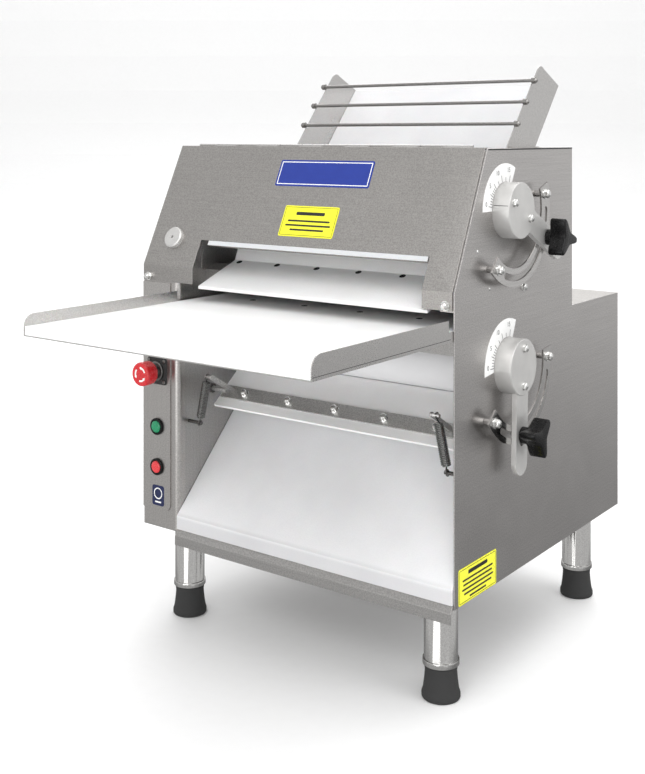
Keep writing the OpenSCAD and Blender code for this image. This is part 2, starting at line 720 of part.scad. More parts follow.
module tray_guard(x) {
    corner = 18;
    y1 = tray_back;
    sheet_x(x, guard_t, [[-tray_front + corner, guard_top], [-tray_front + corner, guard_top - corner],
        [-tray_front, guard_top - corner], [-tray_front, pan_z], [y1, pan_z], [y1, tray_z], [-12, tray_z],
        [-12, guard_top]]);
    intersection() {
        facing_x(x, -tray_front + corner, guard_top - corner) cylinder(h = guard_t, r = corner);
        translate([x - 1, -tray_front - 1, guard_top - corner - 4]) cube([guard_t + 2, corner + 2, corner + 5]);
    }
}

// Pan with two side guards; it slides out to the front
module tray_pan() color("silver") {
    translate([tray_l, -tray_front, pan_z]) cube([tray_x1 - tray_l, tray_front + tray_back, guard_t]);
    tray_guard(tray_l);
    tray_guard(tray_x1 - guard_t);
}

// White board in the pan, with its row of sunk screws
module tray_board() color("white") difference() {
    translate([tray_l + guard_t + 0.3, -tray_front + 1, pan_z + guard_t])
        cube([tray_x1 - tray_l - 2 * guard_t - 0.6, tray_front + tray_back - 2, tray_t]);
    for (i = [-1.5:1.5]) translate([bay_c + i * tray_hole_pitch, 73, tray_z - 3]) cylinder(h = 5, d = 8);
}

// ---- Lower scraper ----

module on_scraper() translate([0, scraper_y, scraper_z]) rotate([scraper_a, 0, 0]) children();
blade_l0 = bay_l + 25;
blade_l1 = bay_r - 23;

// Distance up the blade at which it meets the roller
function blade_reach() = let (d = front_axis(lower) - [scraper_y, scraper_z],
    v = d[0] * cos(scraper_a) + d[1] * sin(scraper_a), n = d[1] * cos(scraper_a) - d[0] * sin(scraper_a))
    v - sqrt(pow(roller_d / 2 + blade_gap, 2) - n * n);

module scraper_blade() color("white") on_scraper() translate([blade_l0, -blade_low, -board_t])
    cube([blade_l1 - blade_l0, blade_low + blade_reach(), board_t]);

// Clamping bar with its two spring arms, its pivots and its nuts
module scraper_bar() color("silver") {
    on_scraper() {
        translate([blade_l0 + 5, -bar_w / 2, 0]) cube([blade_l1 - blade_l0 - 10, bar_w, bar_t]);
        for (x = [bay_l + 0.3, blade_l1 - 12]) translate([x, 0, pivot_n]) rotate([0, 90, 0])
            cylinder(h = x < bay_c ? blade_l0 + 12 - x : bay_r - 0.3 - x, d = pivot_d);
    }
    for (side = [-1, 1]) {
        x = side < 0 ? bay_l + arm_x : bay_r - arm_x - 3;
        link_x(x, 3, [scraper_y, scraper_z] + 7 * [-sin(scraper_a), cos(scraper_a)], [spring_y, spring_top_z], 8);
        bar_x(side < 0 ? bay_l + spring_in + 18 : x, side < 0 ? x + 1 : bay_r - spring_in - 18,
            spring_y, spring_top_z, 6);
    }
    on_scraper() for (i = [-2:2]) translate([bay_c + i * nut_pitch, 0, bar_t]) {
        cylinder(h = 1.2, d = 14);
        cylinder(h = 6, d = 11.5, $fn = 6);
    }
}

// Spring studs and the bushes of the scraper's pivots, on both walls
module wall_studs() color("gray") {
    n = pivot_n;
    py = scraper_y - n * sin(scraper_a);
    pz = scraper_z + n * cos(scraper_a);
    for (x = [bay_l, bay_r - 6]) difference() {
        bar_x(x, x + 6, py, pz, 16);
        bar_x(x - 1, x + 7, py, pz, pivot_d + 2 * run_fit);
    }
    bar_x(bay_l, bay_l + spring_wall + 4, spring_y, spring_low_z, 6);
    bar_x(bay_r - spring_wall - 4, bay_r, spring_y, spring_low_z, 6);
}

// Close-wound tension spring between a stud and an arm, with a ring at each end
module spring(side) color("dimgray") {
    wire = 2.2;
    coil_d = 15;
    edge = side < 0 ? bay_l : bay_r;
    top_x = edge - side * (arm_x - 8);
    low_x = edge - side * spring_wall;
    ring_r = 4.4;
    height = spring_top_z - spring_low_z;
    lean = atan2(top_x - low_x, height);
    long = norm([top_x - low_x, height]);
    coils = floor((long - 4 * ring_r + 2) / wire);
    for (p = [[top_x, spring_top_z], [low_x, spring_low_z]]) translate([p[0], spring_y, p[1]]) rotate([0, 90, 0])
        rotate_extrude($fn = 32) translate([ring_r, 0]) circle(d = wire, $fn = 16);
    translate([low_x, spring_y, spring_low_z]) rotate([0, lean, 0]) {
        translate([0, 0, (long - coils * wire) / 2]) rotate_extrude($fn = 32) {
            translate([coil_d / 2 - wire, 0]) square([wire / 2, coils * wire]);
            for (i = [0:coils - 1]) translate([coil_d / 2 - wire / 2, (i + 0.5) * wire]) circle(d = wire, $fn = 16);
        }
        for (z = [ring_r - 0.5, long - ring_r - 4.5]) translate([0, 0, z]) cylinder(h = 5, d = wire, $fn = 16);
        for (z = [(long - coils * wire) / 2, (long + coils * wire) / 2 - 2]) translate([0, 0, z])
            cylinder(h = 2, d = coil_d - wire);
    }
}
module spring_left() spring(-1);
module spring_right() spring(1);

// ---- Controls ----

module facing_front(y, z) translate([control_x, y, z]) rotate([90, 0, 0]) children();

// Square plate, neck and contact block of the stop button
module estop_base() color("dimgray") {
    facing_front(-sheet, estop_z) difference() {
        union() {
            translate([-22.5, -22.5, 0]) cube([45, 45, 1.5]);
            cylinder(h = 12, d = 30);
            translate([0, 0, -sheet * 2 - 24]) cylinder(h = sheet * 2 + 25, d = control_bore - 0.3);
            translate([-14, -14, -sheet * 2 - 30]) cube([28, 28, 28]);
        }
        translate([0, 0, 2]) cylinder(h = 12, d = 20 + 2 * run_fit);
    }
}

// Red head on its stem
estop_travel = 4;
module estop_head() color("red") facing_front(-sheet - 12 - estop_travel, estop_z) {
    translate([0, 0, -8]) cylinder(h = 9, d = 20);
    cylinder(h = 4, d1 = 34, d2 = mushroom_d);
    translate([0, 0, 4]) cylinder(h = 17, d = mushroom_d);
    translate([0, 0, 21]) cylinder(h = 4, d1 = mushroom_d, d2 = mushroom_d - 8);
}

// Bright bezels with their contact blocks
module button_bezels() color("silver") for (z = [green_z, red_z]) facing_front(-sheet, z) difference() {
    union() {
        cylinder(h = 2.5, d = bezel_d);
        translate([0, 0, 2.5]) cylinder(h = 1.5, d1 = bezel_d, d2 = bezel_d - 3);
        translate([0, 0, -2 * sheet - 14]) cylinder(h = 2 * sheet + 14, d = control_bore - 0.3);
        translate([-12, -14, -2 * sheet - 30]) cube([24, 28, 28]);
    }
    translate([0, 0, -6]) cylinder(h = 12, d = 20 + 2 * run_fit);
}
module button_cap(z) facing_front(-sheet, z) {
    translate([0, 0, -2.5]) cylinder(h = 7.5, d = 20);
    translate([0, 0, 5]) cylinder(h = 1, d1 = 20, d2 = 17);
}
module green_cap() color("green") button_cap(green_z);
module red_cap() color("red") button_cap(red_z);

// ---- Drive ----

// Gearbox on the bay wall, and the motor on it
module gearmotor() color("steelblue") difference() {
    union() {
        translate([bay_l, motor_y - 70, motor_z - 60]) cube([110, 140, 120]);
        bar_x(bay_l + 110, bay_l + 330, motor_y, motor_z, 130);
        bar_x(bay_l + 330, bay_l + 350, motor_y, motor_z, 120);
        translate([bay_l + 150, motor_y - 35, motor_z + 55]) cube([90, 70, 45]);
        translate([bay_l + 30, motor_y - 60, sheet]) cube([270, 120, 40]);
        translate([bay_l + 30, motor_y - 20, sheet]) cube([60, 40, 100]);
    }
    bar_x(bay_l - 1, bay_l + 30, motor_y, motor_z, shaft_d + 2 * run_fit);
}

module motor_sprocket() color("gray") {
    bar_x(shaft_l0, bay_l + 28, motor_y, motor_z, shaft_d);
    sprocket([motor_y, motor_z], lower_chain_x);
}

// Loop round two equal sprockets
module chain(a, b, x) {
    dir = b - a;
    facing_x(x, a[0], a[1]) rotate(atan2(dir[1], dir[0])) difference() {
        chain_shape(norm(dir), sprocket_r + 0.3 + chain_t, sprocket_t);
        translate([0, 0, -1]) chain_shape(norm(dir), sprocket_r + 0.3, sprocket_t + 2);
    }
}
module chain_shape(long, r, t) {
    cylinder(h = t, r = r);
    translate([long, 0, 0]) cylinder(h = t, r = r);
    translate([0, -r, 0]) cube([long, 2 * r, t]);
}
module drive_chains() color("dimgray") {
    chain(rear_axis(lower), rear_axis(upper), upper_chain_x);
    chain([motor_y, motor_z], rear_axis(lower), lower_chain_x);
}

place() left_panel();
place() right_panel();
place() bay_wall();
place() column_front();
place() control_cover();
place() rear_cover();
place() tower_top();
place() base_pan();
place() tray_rail();
place() legs();
place() feet();
place() cable_gland();
place() hinge_leaf_fixed();
place() hood_panel();
place() hood_hinge_leaf();
place() hood_knob();
place() hood_screw_left();
place() hood_screw_right();
place() hopper_body();
place() hopper_liner();
place() hopper_rods();
place() bearing_housings();
place() infeed_guide();
place() upper_front_roller();
place() upper_front_shaft();
place() upper_rear_roller();
place() upper_rear_shaft();
place() upper_carriers();
place() upper_scraper();
place() upper_drum();
place() upper_lever();
place() upper_knob();
place() upper_quadrant();
place() lower_front_roller();
place() lower_front_shaft();
place() lower_rear_roller();
place() lower_rear_shaft();
place() lower_carriers();
place() lower_drum();
place() lower_lever();
place() lower_knob();
place() lower_quadrant();
place() upper_chute();
place() chute_rail();
place() slide_sheet();
place() tray_pan();
place() tray_board();
place() scraper_blade();
place() scraper_bar();
place() wall_studs();
place() spring_left();
place() spring_right();
place() estop_base();
place() estop_head();
place() button_bezels();
place() green_cap();
place() red_cap();
place() gearmotor();
place() motor_sprocket();
place() drive_chains();
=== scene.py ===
"""Dough sheeter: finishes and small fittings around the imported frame, laid out as a Blender add-on."""

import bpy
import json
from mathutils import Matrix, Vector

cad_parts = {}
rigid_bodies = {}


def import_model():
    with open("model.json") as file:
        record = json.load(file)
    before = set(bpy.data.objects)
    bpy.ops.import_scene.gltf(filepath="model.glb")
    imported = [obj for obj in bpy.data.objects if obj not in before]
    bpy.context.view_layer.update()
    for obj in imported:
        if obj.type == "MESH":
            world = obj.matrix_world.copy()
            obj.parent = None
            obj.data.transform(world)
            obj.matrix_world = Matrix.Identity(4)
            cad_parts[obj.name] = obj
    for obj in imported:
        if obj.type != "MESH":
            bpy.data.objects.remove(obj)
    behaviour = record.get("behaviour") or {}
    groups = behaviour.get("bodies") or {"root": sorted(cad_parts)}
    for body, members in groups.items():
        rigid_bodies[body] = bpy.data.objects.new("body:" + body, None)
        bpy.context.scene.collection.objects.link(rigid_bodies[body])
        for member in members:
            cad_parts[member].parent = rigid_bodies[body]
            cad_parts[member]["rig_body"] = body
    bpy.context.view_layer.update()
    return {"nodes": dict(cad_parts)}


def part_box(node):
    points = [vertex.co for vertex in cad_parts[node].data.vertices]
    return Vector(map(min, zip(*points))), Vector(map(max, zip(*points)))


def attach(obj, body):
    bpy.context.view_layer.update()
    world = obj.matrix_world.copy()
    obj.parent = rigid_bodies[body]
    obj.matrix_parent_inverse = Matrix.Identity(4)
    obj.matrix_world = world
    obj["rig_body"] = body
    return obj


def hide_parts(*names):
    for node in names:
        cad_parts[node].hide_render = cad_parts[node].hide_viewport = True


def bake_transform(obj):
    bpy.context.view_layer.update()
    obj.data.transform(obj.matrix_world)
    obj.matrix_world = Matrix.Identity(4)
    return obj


bl_info = {
    "name": "Dough Sheeter Builder",
    "version": (1, 0, 0),
    "blender": (4, 5, 0),
    "location": "View3D > Sidebar > Sheeter",
    "description": "Builds the finishes and fittings of a two-stage dough sheeter",
    "category": "Object",
}

import json
import math

import bmesh
import bpy
import numpy as np
from mathutils import Vector

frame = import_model()
MM = 0.001


# ---- Places -------------------------------------------------------------------------------


def corner_of_body():
    """The body's front right bottom corner: the right panel's largest X, and its least Y and Z."""
    low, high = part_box("right_panel")
    return np.array([high.x, low.y, low.z])


BODY_CORNER = corner_of_body()
SIDE = np.array([1.0, 0.0, 0.0])
BACK = np.array([0.0, 1.0, 0.0])
RISE = np.array([0.0, 0.0, 1.0])
KNEE_Z, RIDGE_Y, TOWER_Z = 442.0, 95.0, 642.0
SLOPE = math.atan2(RIDGE_Y, TOWER_Z - KNEE_Z)
UP_SLOPE = np.array([0.0, math.sin(SLOPE), math.cos(SLOPE)])
OUT_OF_SLOPE = np.array([0.0, -math.cos(SLOPE), math.sin(SLOPE)])
HOOD_OUT = 1.8
BAY_CENTRE = -266.0
BAY_LEFT, BAY_RIGHT = -530.0, -2.0


def at(x, y, z):
    """A point in millimetres from the body's corner, as metres in the frame."""
    return BODY_CORNER + np.array([x, y, z], float) * MM


def on_side(stage, radius, degrees, x):
    """A point on the right side: x out of the panel, and a radius and angle about an adjuster's centre."""
    turn = math.radians(degrees)
    return at(x, stage["y"] + radius * math.cos(turn), stage["z"] + radius * math.sin(turn))


def radial(degrees):
    """The directions out and round at an angle on the right side."""
    a = math.radians(degrees)
    return math.cos(a) * BACK + math.sin(a) * RISE, -math.sin(a) * BACK + math.cos(a) * RISE


def on_hood(x, s, out=0.0):
    """A point on the hood's leaning face: s up the slope from its knee and out of the sheet."""
    return at(x, 0, KNEE_Z) + (UP_SLOPE * s + OUT_OF_SLOPE * (HOOD_OUT + out)) * MM


# Each adjuster's centre on the right panel, its lever's angle, its arc's bolts and its dial's ends
STAGES = {
    "upper": dict(y=150.0, z=550.0, lever=333.0, bolts=(237.0, 372.0), dial=(63.0, 180.0)),
    "lower": dict(y=156.0, z=317.0, lever=268.0, bolts=(225.0, 360.0), dial=(67.0, 186.0)),
}


# ---- Shells -------------------------------------------------------------------------------


def unit(v):
    return np.asarray(v, float) / np.linalg.norm(v)


def across(axis):
    """Two unit vectors at right angles to an axis and to each other."""
    axis = unit(axis)
    first = unit(np.cross(axis, SIDE if abs(axis[0]) < 0.9 else BACK))
    return first, np.cross(axis, first)


def skin(grid, ring=True, caps=True):
    """Shell from rows of points: each point joins its neighbour in the row and in the next row.
    ring closes every row on itself, and caps fills the first and the last row."""
    rows, cols = grid.shape[:2]
    i, j = np.meshgrid(np.arange(rows - 1), np.arange(cols if ring else cols - 1), indexing="ij")
    k = (j + 1) % cols
    quads = np.stack([i * cols + j, i * cols + k, (i + 1) * cols + k, (i + 1) * cols + j], -1)
    faces = quads.reshape(-1, 4).tolist()
    if caps:
        faces += [list(range(cols))[::-1], list(range((rows - 1) * cols, rows * cols))]
    return grid.reshape(-1, 3), faces


def revolve(profile, centre, axis, steps=48):
    """Turns a profile of (radius, height) in millimetres about an axis: centre + height x axis +
    radius x (cos t, sin t) across it."""
    profile = np.asarray(profile, float) * MM
    t = np.linspace(0, 2 * math.pi, steps, endpoint=False)
    e1, e2 = across(axis)
    round_ = np.cos(t)[:, None] * e1 + np.sin(t)[:, None] * e2
    grid = centre + profile[:, 1, None, None] * unit(axis) + profile[:, 0, None, None] * round_
    return skin(grid)


def carry(path, section):
    """Carries a flat section of (a, b) in metres along a path. The frame turns no more than the
    path does: each step's normal is the last one less its part along the new direction."""
    path = np.asarray(path, float)
    step = np.gradient(path, axis=0)
    tangent = step / np.linalg.norm(step, axis=1)[:, None]
    normals = np.empty_like(tangent)
    normals[0] = across(tangent[0])[0]
    for n in range(1, len(path)):
        side = normals[n - 1] - tangent[n] * (normals[n - 1] @ tangent[n])
        normals[n] = side / np.linalg.norm(side)
    binormals = np.cross(tangent, normals)
    section = np.asarray(section, float)
    grid = path[:, None] + section[None, :, :1] * normals[:, None] + section[None, :, 1:] * binormals[:, None]
    return skin(grid)


def circle(radius, steps=12):
    """Round section of a wire, in metres."""
    t = np.linspace(0, 2 * math.pi, steps, endpoint=False)
    return radius * MM * np.stack([np.cos(t), np.sin(t)], -1)


def rounded(width, height, corner, steps=6):
    """Outline of a rectangle with round corners: each corner's centre plus its quarter circle."""
    t = np.linspace(0, math.pi / 2, steps)
    arcs = [
        np.stack([sx + corner * np.cos(t + q), sy + corner * np.sin(t + q)], -1)
        for q, sx, sy in (
            (0, width / 2 - corner, height / 2 - corner),
            (math.pi / 2, -width / 2 + corner, height / 2 - corner),
            (math.pi, -width / 2 + corner, -height / 2 + corner),
            (1.5 * math.pi, width / 2 - corner, -height / 2 + corner),
        )
    ]
    return np.concatenate(arcs)


def plate(outline, centre, u, v, thick, edge=0.0):
    """Flat plate: an outline in millimetres along u and v, raised by thick, with its top edge
    drawn in by edge so that it catches the light."""
    outline = np.asarray(outline, float)
    out = np.cross(unit(u), unit(v))
    middle = outline.mean(0)
    size = np.abs(outline - middle).max()
    drawn = middle + (outline - middle) * (1 - edge / size)
    rows = [(outline, 0.0), (outline, thick - edge), (drawn, thick)]
    grid = np.stack([
        centre + (line[:, :1] * unit(u) + line[:, 1:] * unit(v) + height * out) * MM for line, height in rows
    ])
    return skin(grid)


def band(outer, inner, centre, u, v, thick):
    """Flat frame between two outlines of equal length: their tops and sides as one closed ring."""
    out = np.cross(unit(u), unit(v))
    lines = [(outer, 0.0), (outer, thick), (inner, thick), (inner, 0.0), (outer, 0.0)]
    grid = np.stack([centre + (a[:, :1] * unit(u) + a[:, 1:] * unit(v) + h * out) * MM for a, h in lines])
    return skin(grid, caps=False)


def hex_head(radius, height, centre, axis, turn=0.0):
    """Hexagon head: a circle pulled in to six flats, r = flat / cos(angle to the flat's middle),
    that is drawn in and rounded over the top."""
    t = np.linspace(0, 2 * math.pi, 36, endpoint=False)
    local = np.mod(t, math.pi / 3) - math.pi / 6
    hexagon = radius * math.cos(math.pi / 6) / np.cos(local)
    e1, e2 = across(axis)
    round_ = np.cos(t + turn)[:, None] * e1 + np.sin(t + turn)[:, None] * e2
    rows = []
    for share, level in ((1.0, 0.0), (1.0, 0.62), (0.97, 0.72), (0.80, 0.86), (0.5, 0.96), (0.12, 1.0)):
        r = np.minimum(hexagon, radius) * share if share > 0.95 else np.full_like(t, radius * share * 0.95)
        rows.append(centre + (level * height * unit(axis) + r[:, None] * round_) * MM)
    return skin(np.stack(rows))


def joined(shells):
    """Several shells as one list of points and faces."""
    points, faces, start = [], [], 0
    for p, f in shells:
        points.append(p)
        faces += [[v + start for v in face] for face in f]
        start += len(p)
    return np.concatenate(points), faces


def piece(name, shells, material, body, stands_for=(), crease=38.0):
    """Makes one object from its shells: points merged, faces turned outwards, edges sharper than
    crease degrees kept sharp. It rides on its body."""
    points, faces = joined(shells)
    mesh = bpy.data.meshes.new(name)
    mesh.from_pydata(points.tolist(), [], faces)
    work = bmesh.new()
    work.from_mesh(mesh)
    bmesh.ops.remove_doubles(work, verts=work.verts, dist=1e-7)
    bmesh.ops.dissolve_degenerate(work, edges=work.edges, dist=1e-7)
    bmesh.ops.recalc_face_normals(work, faces=work.faces)
    work.to_mesh(mesh)
    work.free()
    mesh.polygons.foreach_set("use_smooth", [True] * len(mesh.polygons))
    mesh.set_sharp_from_angle(angle=math.radians(crease))
    mesh.materials.append(material)
    made = bpy.data.objects.new(name, mesh)
    bpy.context.scene.collection.objects.link(made)
    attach(made, body)
    if stands_for:
        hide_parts(*stands_for)
    return made


# ---- Materials ----------------------------------------------------------------------------


def linear(code):
    """sRGB hex colour as linear red, green, blue and alpha."""
    values = [int(code[i:i + 2], 16) / 255 for i in (1, 3, 5)]
    return [v / 12.92 if v <= 0.04045 else ((v + 0.055) / 1.055) ** 2.4 for v in values] + [1.0]


def add(tree, kind, inputs=None, **settings):
    """Adds a node. Each input is linked if its value is a socket, and set if it isn't."""
    made = tree.nodes.new("ShaderNode" + kind)
    for key, value in settings.items():
        setattr(made, key, value)
    for key, value in (inputs or {}).items():
        if isinstance(value, bpy.types.NodeSocket):
            tree.links.new(value, made.inputs[key])
        else:
            made.inputs[key].default_value = value
    return made


def begin(name, **shader):
    """A new material with its shader, its Object coordinates and its node tree."""
    material = bpy.data.materials.get(name)
    if material:
        return material, None, None, None
    material = bpy.data.materials.new(name)
    material.use_nodes = True
    tree = material.node_tree
    tree.nodes.clear()
    skin_ = add(tree, "BsdfPrincipled", {k.replace("_", " "): v for k, v in shader.items()})
    add(tree, "OutputMaterial", {"Surface": skin_.outputs[0]})
    where = add(tree, "TexCoord").outputs["Object"]
    return material, tree, skin_, where


def ramp(tree, value, low, high, to_low, to_high):
    """A value from one range to another, held at the ends."""
    return add(tree, "MapRange", {
        "Value": value, "From Min": low, "From Max": high, "To Min": to_low, "To Max": to_high}).outputs[0]


def mixed(tree, share, first, second, blend="MIX"):
    """Two colours mixed by a share."""
    made = add(tree, "Mix", data_type="RGBA", blend_type=blend)
    for socket, value in ((0, share), (6, first), (7, second)):
        if isinstance(value, bpy.types.NodeSocket):
            tree.links.new(value, made.inputs[socket])
        else:
            made.inputs[socket].default_value = value
    return made.outputs[2]


def brushed_stainless(name, colour, grain, roughness=0.30, width=1.7, speckle=0.10):
    """Stainless sheet finished with an abrasive belt. The belt leaves long fine scratches along
    grain, 1.7 mm apart here so that they show, a fine grit, and faint smears that dull it."""
    material, tree, shader, where = begin(name, Metallic=1.0)
    if tree is None:
        return material
    stretch = [1 / (width * MM)] * 3
    stretch["XYZ".index(grain)] = 1 / (140 * MM)
    along = add(tree, "Mapping", {"Vector": where, "Scale": stretch}).outputs[0]
    scratch = add(tree, "TexNoise", {
        "Vector": along, "Scale": 1.0, "Detail": 3.0, "Roughness": 0.6}).outputs[0]
    grit = add(tree, "TexNoise", {"Vector": where, "Scale": 1 / (2.0 * MM), "Detail": 2.0}).outputs[0]
    smear = add(tree, "TexNoise", {
        "Vector": where, "Scale": 1 / (95 * MM), "Detail": 3.0, "Distortion": 0.6}).outputs[0]
    darker = mixed(tree, ramp(tree, scratch, 0.35, 0.65, 0.0, 0.07), linear(colour), [0.0, 0.0, 0.0, 1.0])
    tone = mixed(tree, ramp(tree, grit, 0.36, 0.64, 0.0, speckle * 2.6), darker, [0.02, 0.02, 0.02, 1.0])
    tree.links.new(tone, shader.inputs["Base Color"])
    dull = ramp(tree, smear, 0.35, 0.7, roughness - 0.02, roughness + 0.05)
    uneven = ramp(tree, scratch, 0.3, 0.7, -0.04, 0.05)
    rough = add(tree, "Math", {0: dull, 1: uneven}, operation="ADD").outputs[0]
    tree.links.new(rough, shader.inputs["Roughness"])
    bump = add(tree, "Bump", {"Height": scratch, "Strength": 0.10, "Distance": 0.10 * MM}).outputs[0]
    tree.links.new(bump, shader.inputs["Normal"])
    return material


def turned_stainless(name, colour, roughness=0.24, mottle=3.0, metallic=1.0):
    """Machined stainless: a satin face with a fine even tooth and a few darker rubs."""
    material, tree, shader, where = begin(name, Metallic=metallic)
    if tree is None:
        return material
    tooth = add(tree, "TexNoise", {"Vector": where, "Scale": 1 / (1.5 * MM), "Detail": 3.0}).outputs[0]
    rub = add(tree, "TexNoise", {"Vector": where, "Scale": 1 / (mottle * 9 * MM), "Detail": 4.0}).outputs[0]
    tone = mixed(tree, ramp(tree, rub, 0.4, 0.7, 0.0, 0.10), linear(colour), [0.12, 0.12, 0.12, 1.0])
    tree.links.new(tone, shader.inputs["Base Color"])
    rough = ramp(tree, tooth, 0.3, 0.7, roughness - 0.05, roughness + 0.06)
    tree.links.new(rough, shader.inputs["Roughness"])
    bump = add(tree, "Bump", {"Height": tooth, "Strength": 0.15, "Distance": 0.05 * MM}).outputs[0]
    tree.links.new(bump, shader.inputs["Normal"])
    return material


def polished_steel(name, colour="#E4E4E2", roughness=0.10):
    """Polished stainless fasteners: sharp bright reflections with light handling marks."""
    material, tree, shader, where = begin(name, Metallic=1.0)
    if tree is None:
        return material
    shader.inputs["Base Color"].default_value = linear(colour)
    marks = add(tree, "TexNoise", {"Vector": where, "Scale": 1 / (1.2 * MM), "Detail": 4.0}).outputs[0]
    rough = ramp(tree, marks, 0.35, 0.7, roughness - 0.03, roughness + 0.14)
    tree.links.new(rough, shader.inputs["Roughness"])
    return material


def sheet_polyethylene(name, colour, shade, roughness=0.46, scored="Y", shade_below=None):
    """Food-grade polyethylene board: milky white, faintly waxy, with a fine orange-peel face from
    the press and shallow scrape marks from the dough knife along one way. Below the given height
    the colour is mixed towards grey: painted shade on a lower fold that faces the front light."""
    material, tree, shader, where = begin(name, IOR=1.52, Subsurface_Weight=0.06, Subsurface_Scale=0.004)
    if tree is None:
        return material
    stretch = [1 / (2.2 * MM)] * 3
    stretch["XYZ".index(scored)] = 1 / (60 * MM)
    along = add(tree, "Mapping", {"Vector": where, "Scale": stretch}).outputs[0]
    score = add(tree, "TexNoise", {"Vector": along, "Scale": 1.0, "Detail": 2.0}).outputs[0]
    peel = add(tree, "TexNoise", {"Vector": where, "Scale": 1 / (1.8 * MM), "Detail": 2.0}).outputs[0]
    cloud = add(tree, "TexNoise", {"Vector": where, "Scale": 1 / (80 * MM), "Detail": 3.0}).outputs[0]
    tone = mixed(tree, ramp(tree, cloud, 0.35, 0.7, 0.0, 0.6), linear(colour), linear(shade))
    fine = mixed(tree, ramp(tree, peel, 0.4, 0.65, 0.0, 0.35), tone, linear(shade))
    # Painted shade: below the given height the colour is mixed up to 42% towards grey.
    if shade_below is not None:
        height = add(tree, "SeparateXYZ", {"Vector": where}).outputs["Z"]
        share = ramp(tree, height, shade_below - 5 * MM, shade_below + 5 * MM, 0.42, 0.0)
        fine = mixed(tree, share, fine, linear("#8C8C8E"))
    tree.links.new(fine, shader.inputs["Base Color"])
    rough = ramp(tree, score, 0.35, 0.7, roughness - 0.06, roughness + 0.10)
    tree.links.new(rough, shader.inputs["Roughness"])
    both = add(tree, "Math", {0: score, 1: peel}, operation="ADD").outputs[0]
    bump = add(tree, "Bump", {"Height": both, "Strength": 0.25, "Distance": 0.08 * MM}).outputs[0]
    tree.links.new(bump, shader.inputs["Normal"])
    return material


def moulded(name, colour, worn, roughness=0.38, grain=1.4, depth=0.06, **shader):
    """Moulded plastic or rubber: even colour with a fine spark-eroded texture that scatters the
    highlight, and a slightly paler worn tone in patches."""
    material, tree, skin_, where = begin(name, IOR=1.5, **shader)
    if tree is None:
        return material
    texture = add(tree, "TexNoise", {"Vector": where, "Scale": 1 / (grain * MM), "Detail": 2.0}).outputs[0]
    patch = add(tree, "TexNoise", {"Vector": where, "Scale": 1 / (22 * MM), "Detail": 4.0}).outputs[0]
    tone = mixed(tree, ramp(tree, patch, 0.4, 0.72, 0.0, 0.7), linear(colour), linear(worn))
    tree.links.new(tone, skin_.inputs["Base Color"])
    rough = ramp(tree, texture, 0.3, 0.7, roughness - 0.05, roughness + 0.10)
    tree.links.new(rough, skin_.inputs["Roughness"])
    bump = add(tree, "Bump", {"Height": texture, "Strength": 0.3, "Distance": depth * MM}).outputs[0]
    tree.links.new(bump, skin_.inputs["Normal"])
    return material


def painted(name, colour, chip, roughness=0.42):
    """Brushed-on or dipped enamel over a casting: a soft sheen with an orange-peel face and dust."""
    return moulded(name, colour, chip, roughness, grain=3.0, depth=0.15, Coat_Weight=0.15)


# ---- Settings -----------------------------------------------------------------------------


def colour_setting(name, text, default):
    return bpy.props.StringProperty(name=name, description=text, default=default)


def length_setting(name, text, default, low, high):
    return bpy.props.FloatProperty(
        name=name, description=text + ", in millimetres", default=default, min=low, max=high)


class SheeterSteelSettings(bpy.types.PropertyGroup):
    hood: colour_setting("Hood steel", "Tone of the hood's brushed sheet", "#B4B1AE")
    side: colour_setting("Side steel", "Tone of the side panels", "#CFCCCA")
    column: colour_setting("Column steel", "Tone of the control column", "#C9C6C3")
    trim: colour_setting("Trim steel", "Tone of the tray, the hopper and the hinge", "#D2D0CE")
    bay: colour_setting("Bay steel", "Tone of the sheet inside the bay", "#C4C2C0")
    machined: colour_setting("Machined steel", "Tone of drums, levers and the hood's disc", "#CBCAC8")
    grain: length_setting("Grain width", "Width of the brushing's scratches", 1.7, 0.5, 4.0)


class SheeterBoardSettings(bpy.types.PropertyGroup):
    tray: colour_setting("Tray board", "Colour of the tray's board", "#F4F4F4")
    slide: colour_setting("Slide board", "Colour of the bottom slide", "#F2F2F3")
    roller: colour_setting("Roller sleeve", "Colour of the rollers", "#D9D9D8")


class SheeterControlSettings(bpy.types.PropertyGroup):
    stop: colour_setting("Stop red", "Colour of the stop button", "#C8141E")
    go: colour_setting("Start green", "Colour of the start button", "#12875A")
    halt: colour_setting("Halt red", "Colour of the small red button", "#D8343A")
    head: length_setting("Stop head", "Diameter of the stop button's head", 40.0, 30.0, 40.0)


class SheeterFittingSettings(bpy.types.PropertyGroup):
    knob_reach: length_setting("Knob lobes", "Reach of a knob's lobes from its centre", 32.0, 22.0, 32.4)
    lobe_root: length_setting("Lobe root", "Half width of a knob's lobes at the centre", 10.6, 8.0, 11.0)
    lobe_tip: length_setting("Lobe tip", "Half width of a knob's lobes at their ends", 4.4, 3.0, 4.5)
    wire: length_setting("Spring wire", "Diameter of the springs' wire", 2.2, 1.5, 2.5)
    coil: length_setting("Spring coil", "Outer diameter of the springs' coils", 15.0, 11.0, 15.0)
    ink: length_setting("Dial stroke", "Width of the dials' marks", 0.9, 0.4, 1.6)


class SheeterStudioSettings(bpy.types.PropertyGroup):
    key: bpy.props.FloatProperty(
        name="Key light", description="Power of the large soft light", default=62.0, min=0.0)
    sky: bpy.props.FloatProperty(
        name="Sky", description="Strength of the surrounding light", default=0.78, min=0.0)


# ---- Operators: finishes ------------------------------------------------------------------


def coat(material, *nodes):
    """Gives CAD nodes a material in every slot."""
    for name in nodes:
        mesh = frame["nodes"][name].data
        if not mesh.materials:
            mesh.materials.append(material)
        for slot in range(len(mesh.materials)):
            mesh.materials[slot] = material


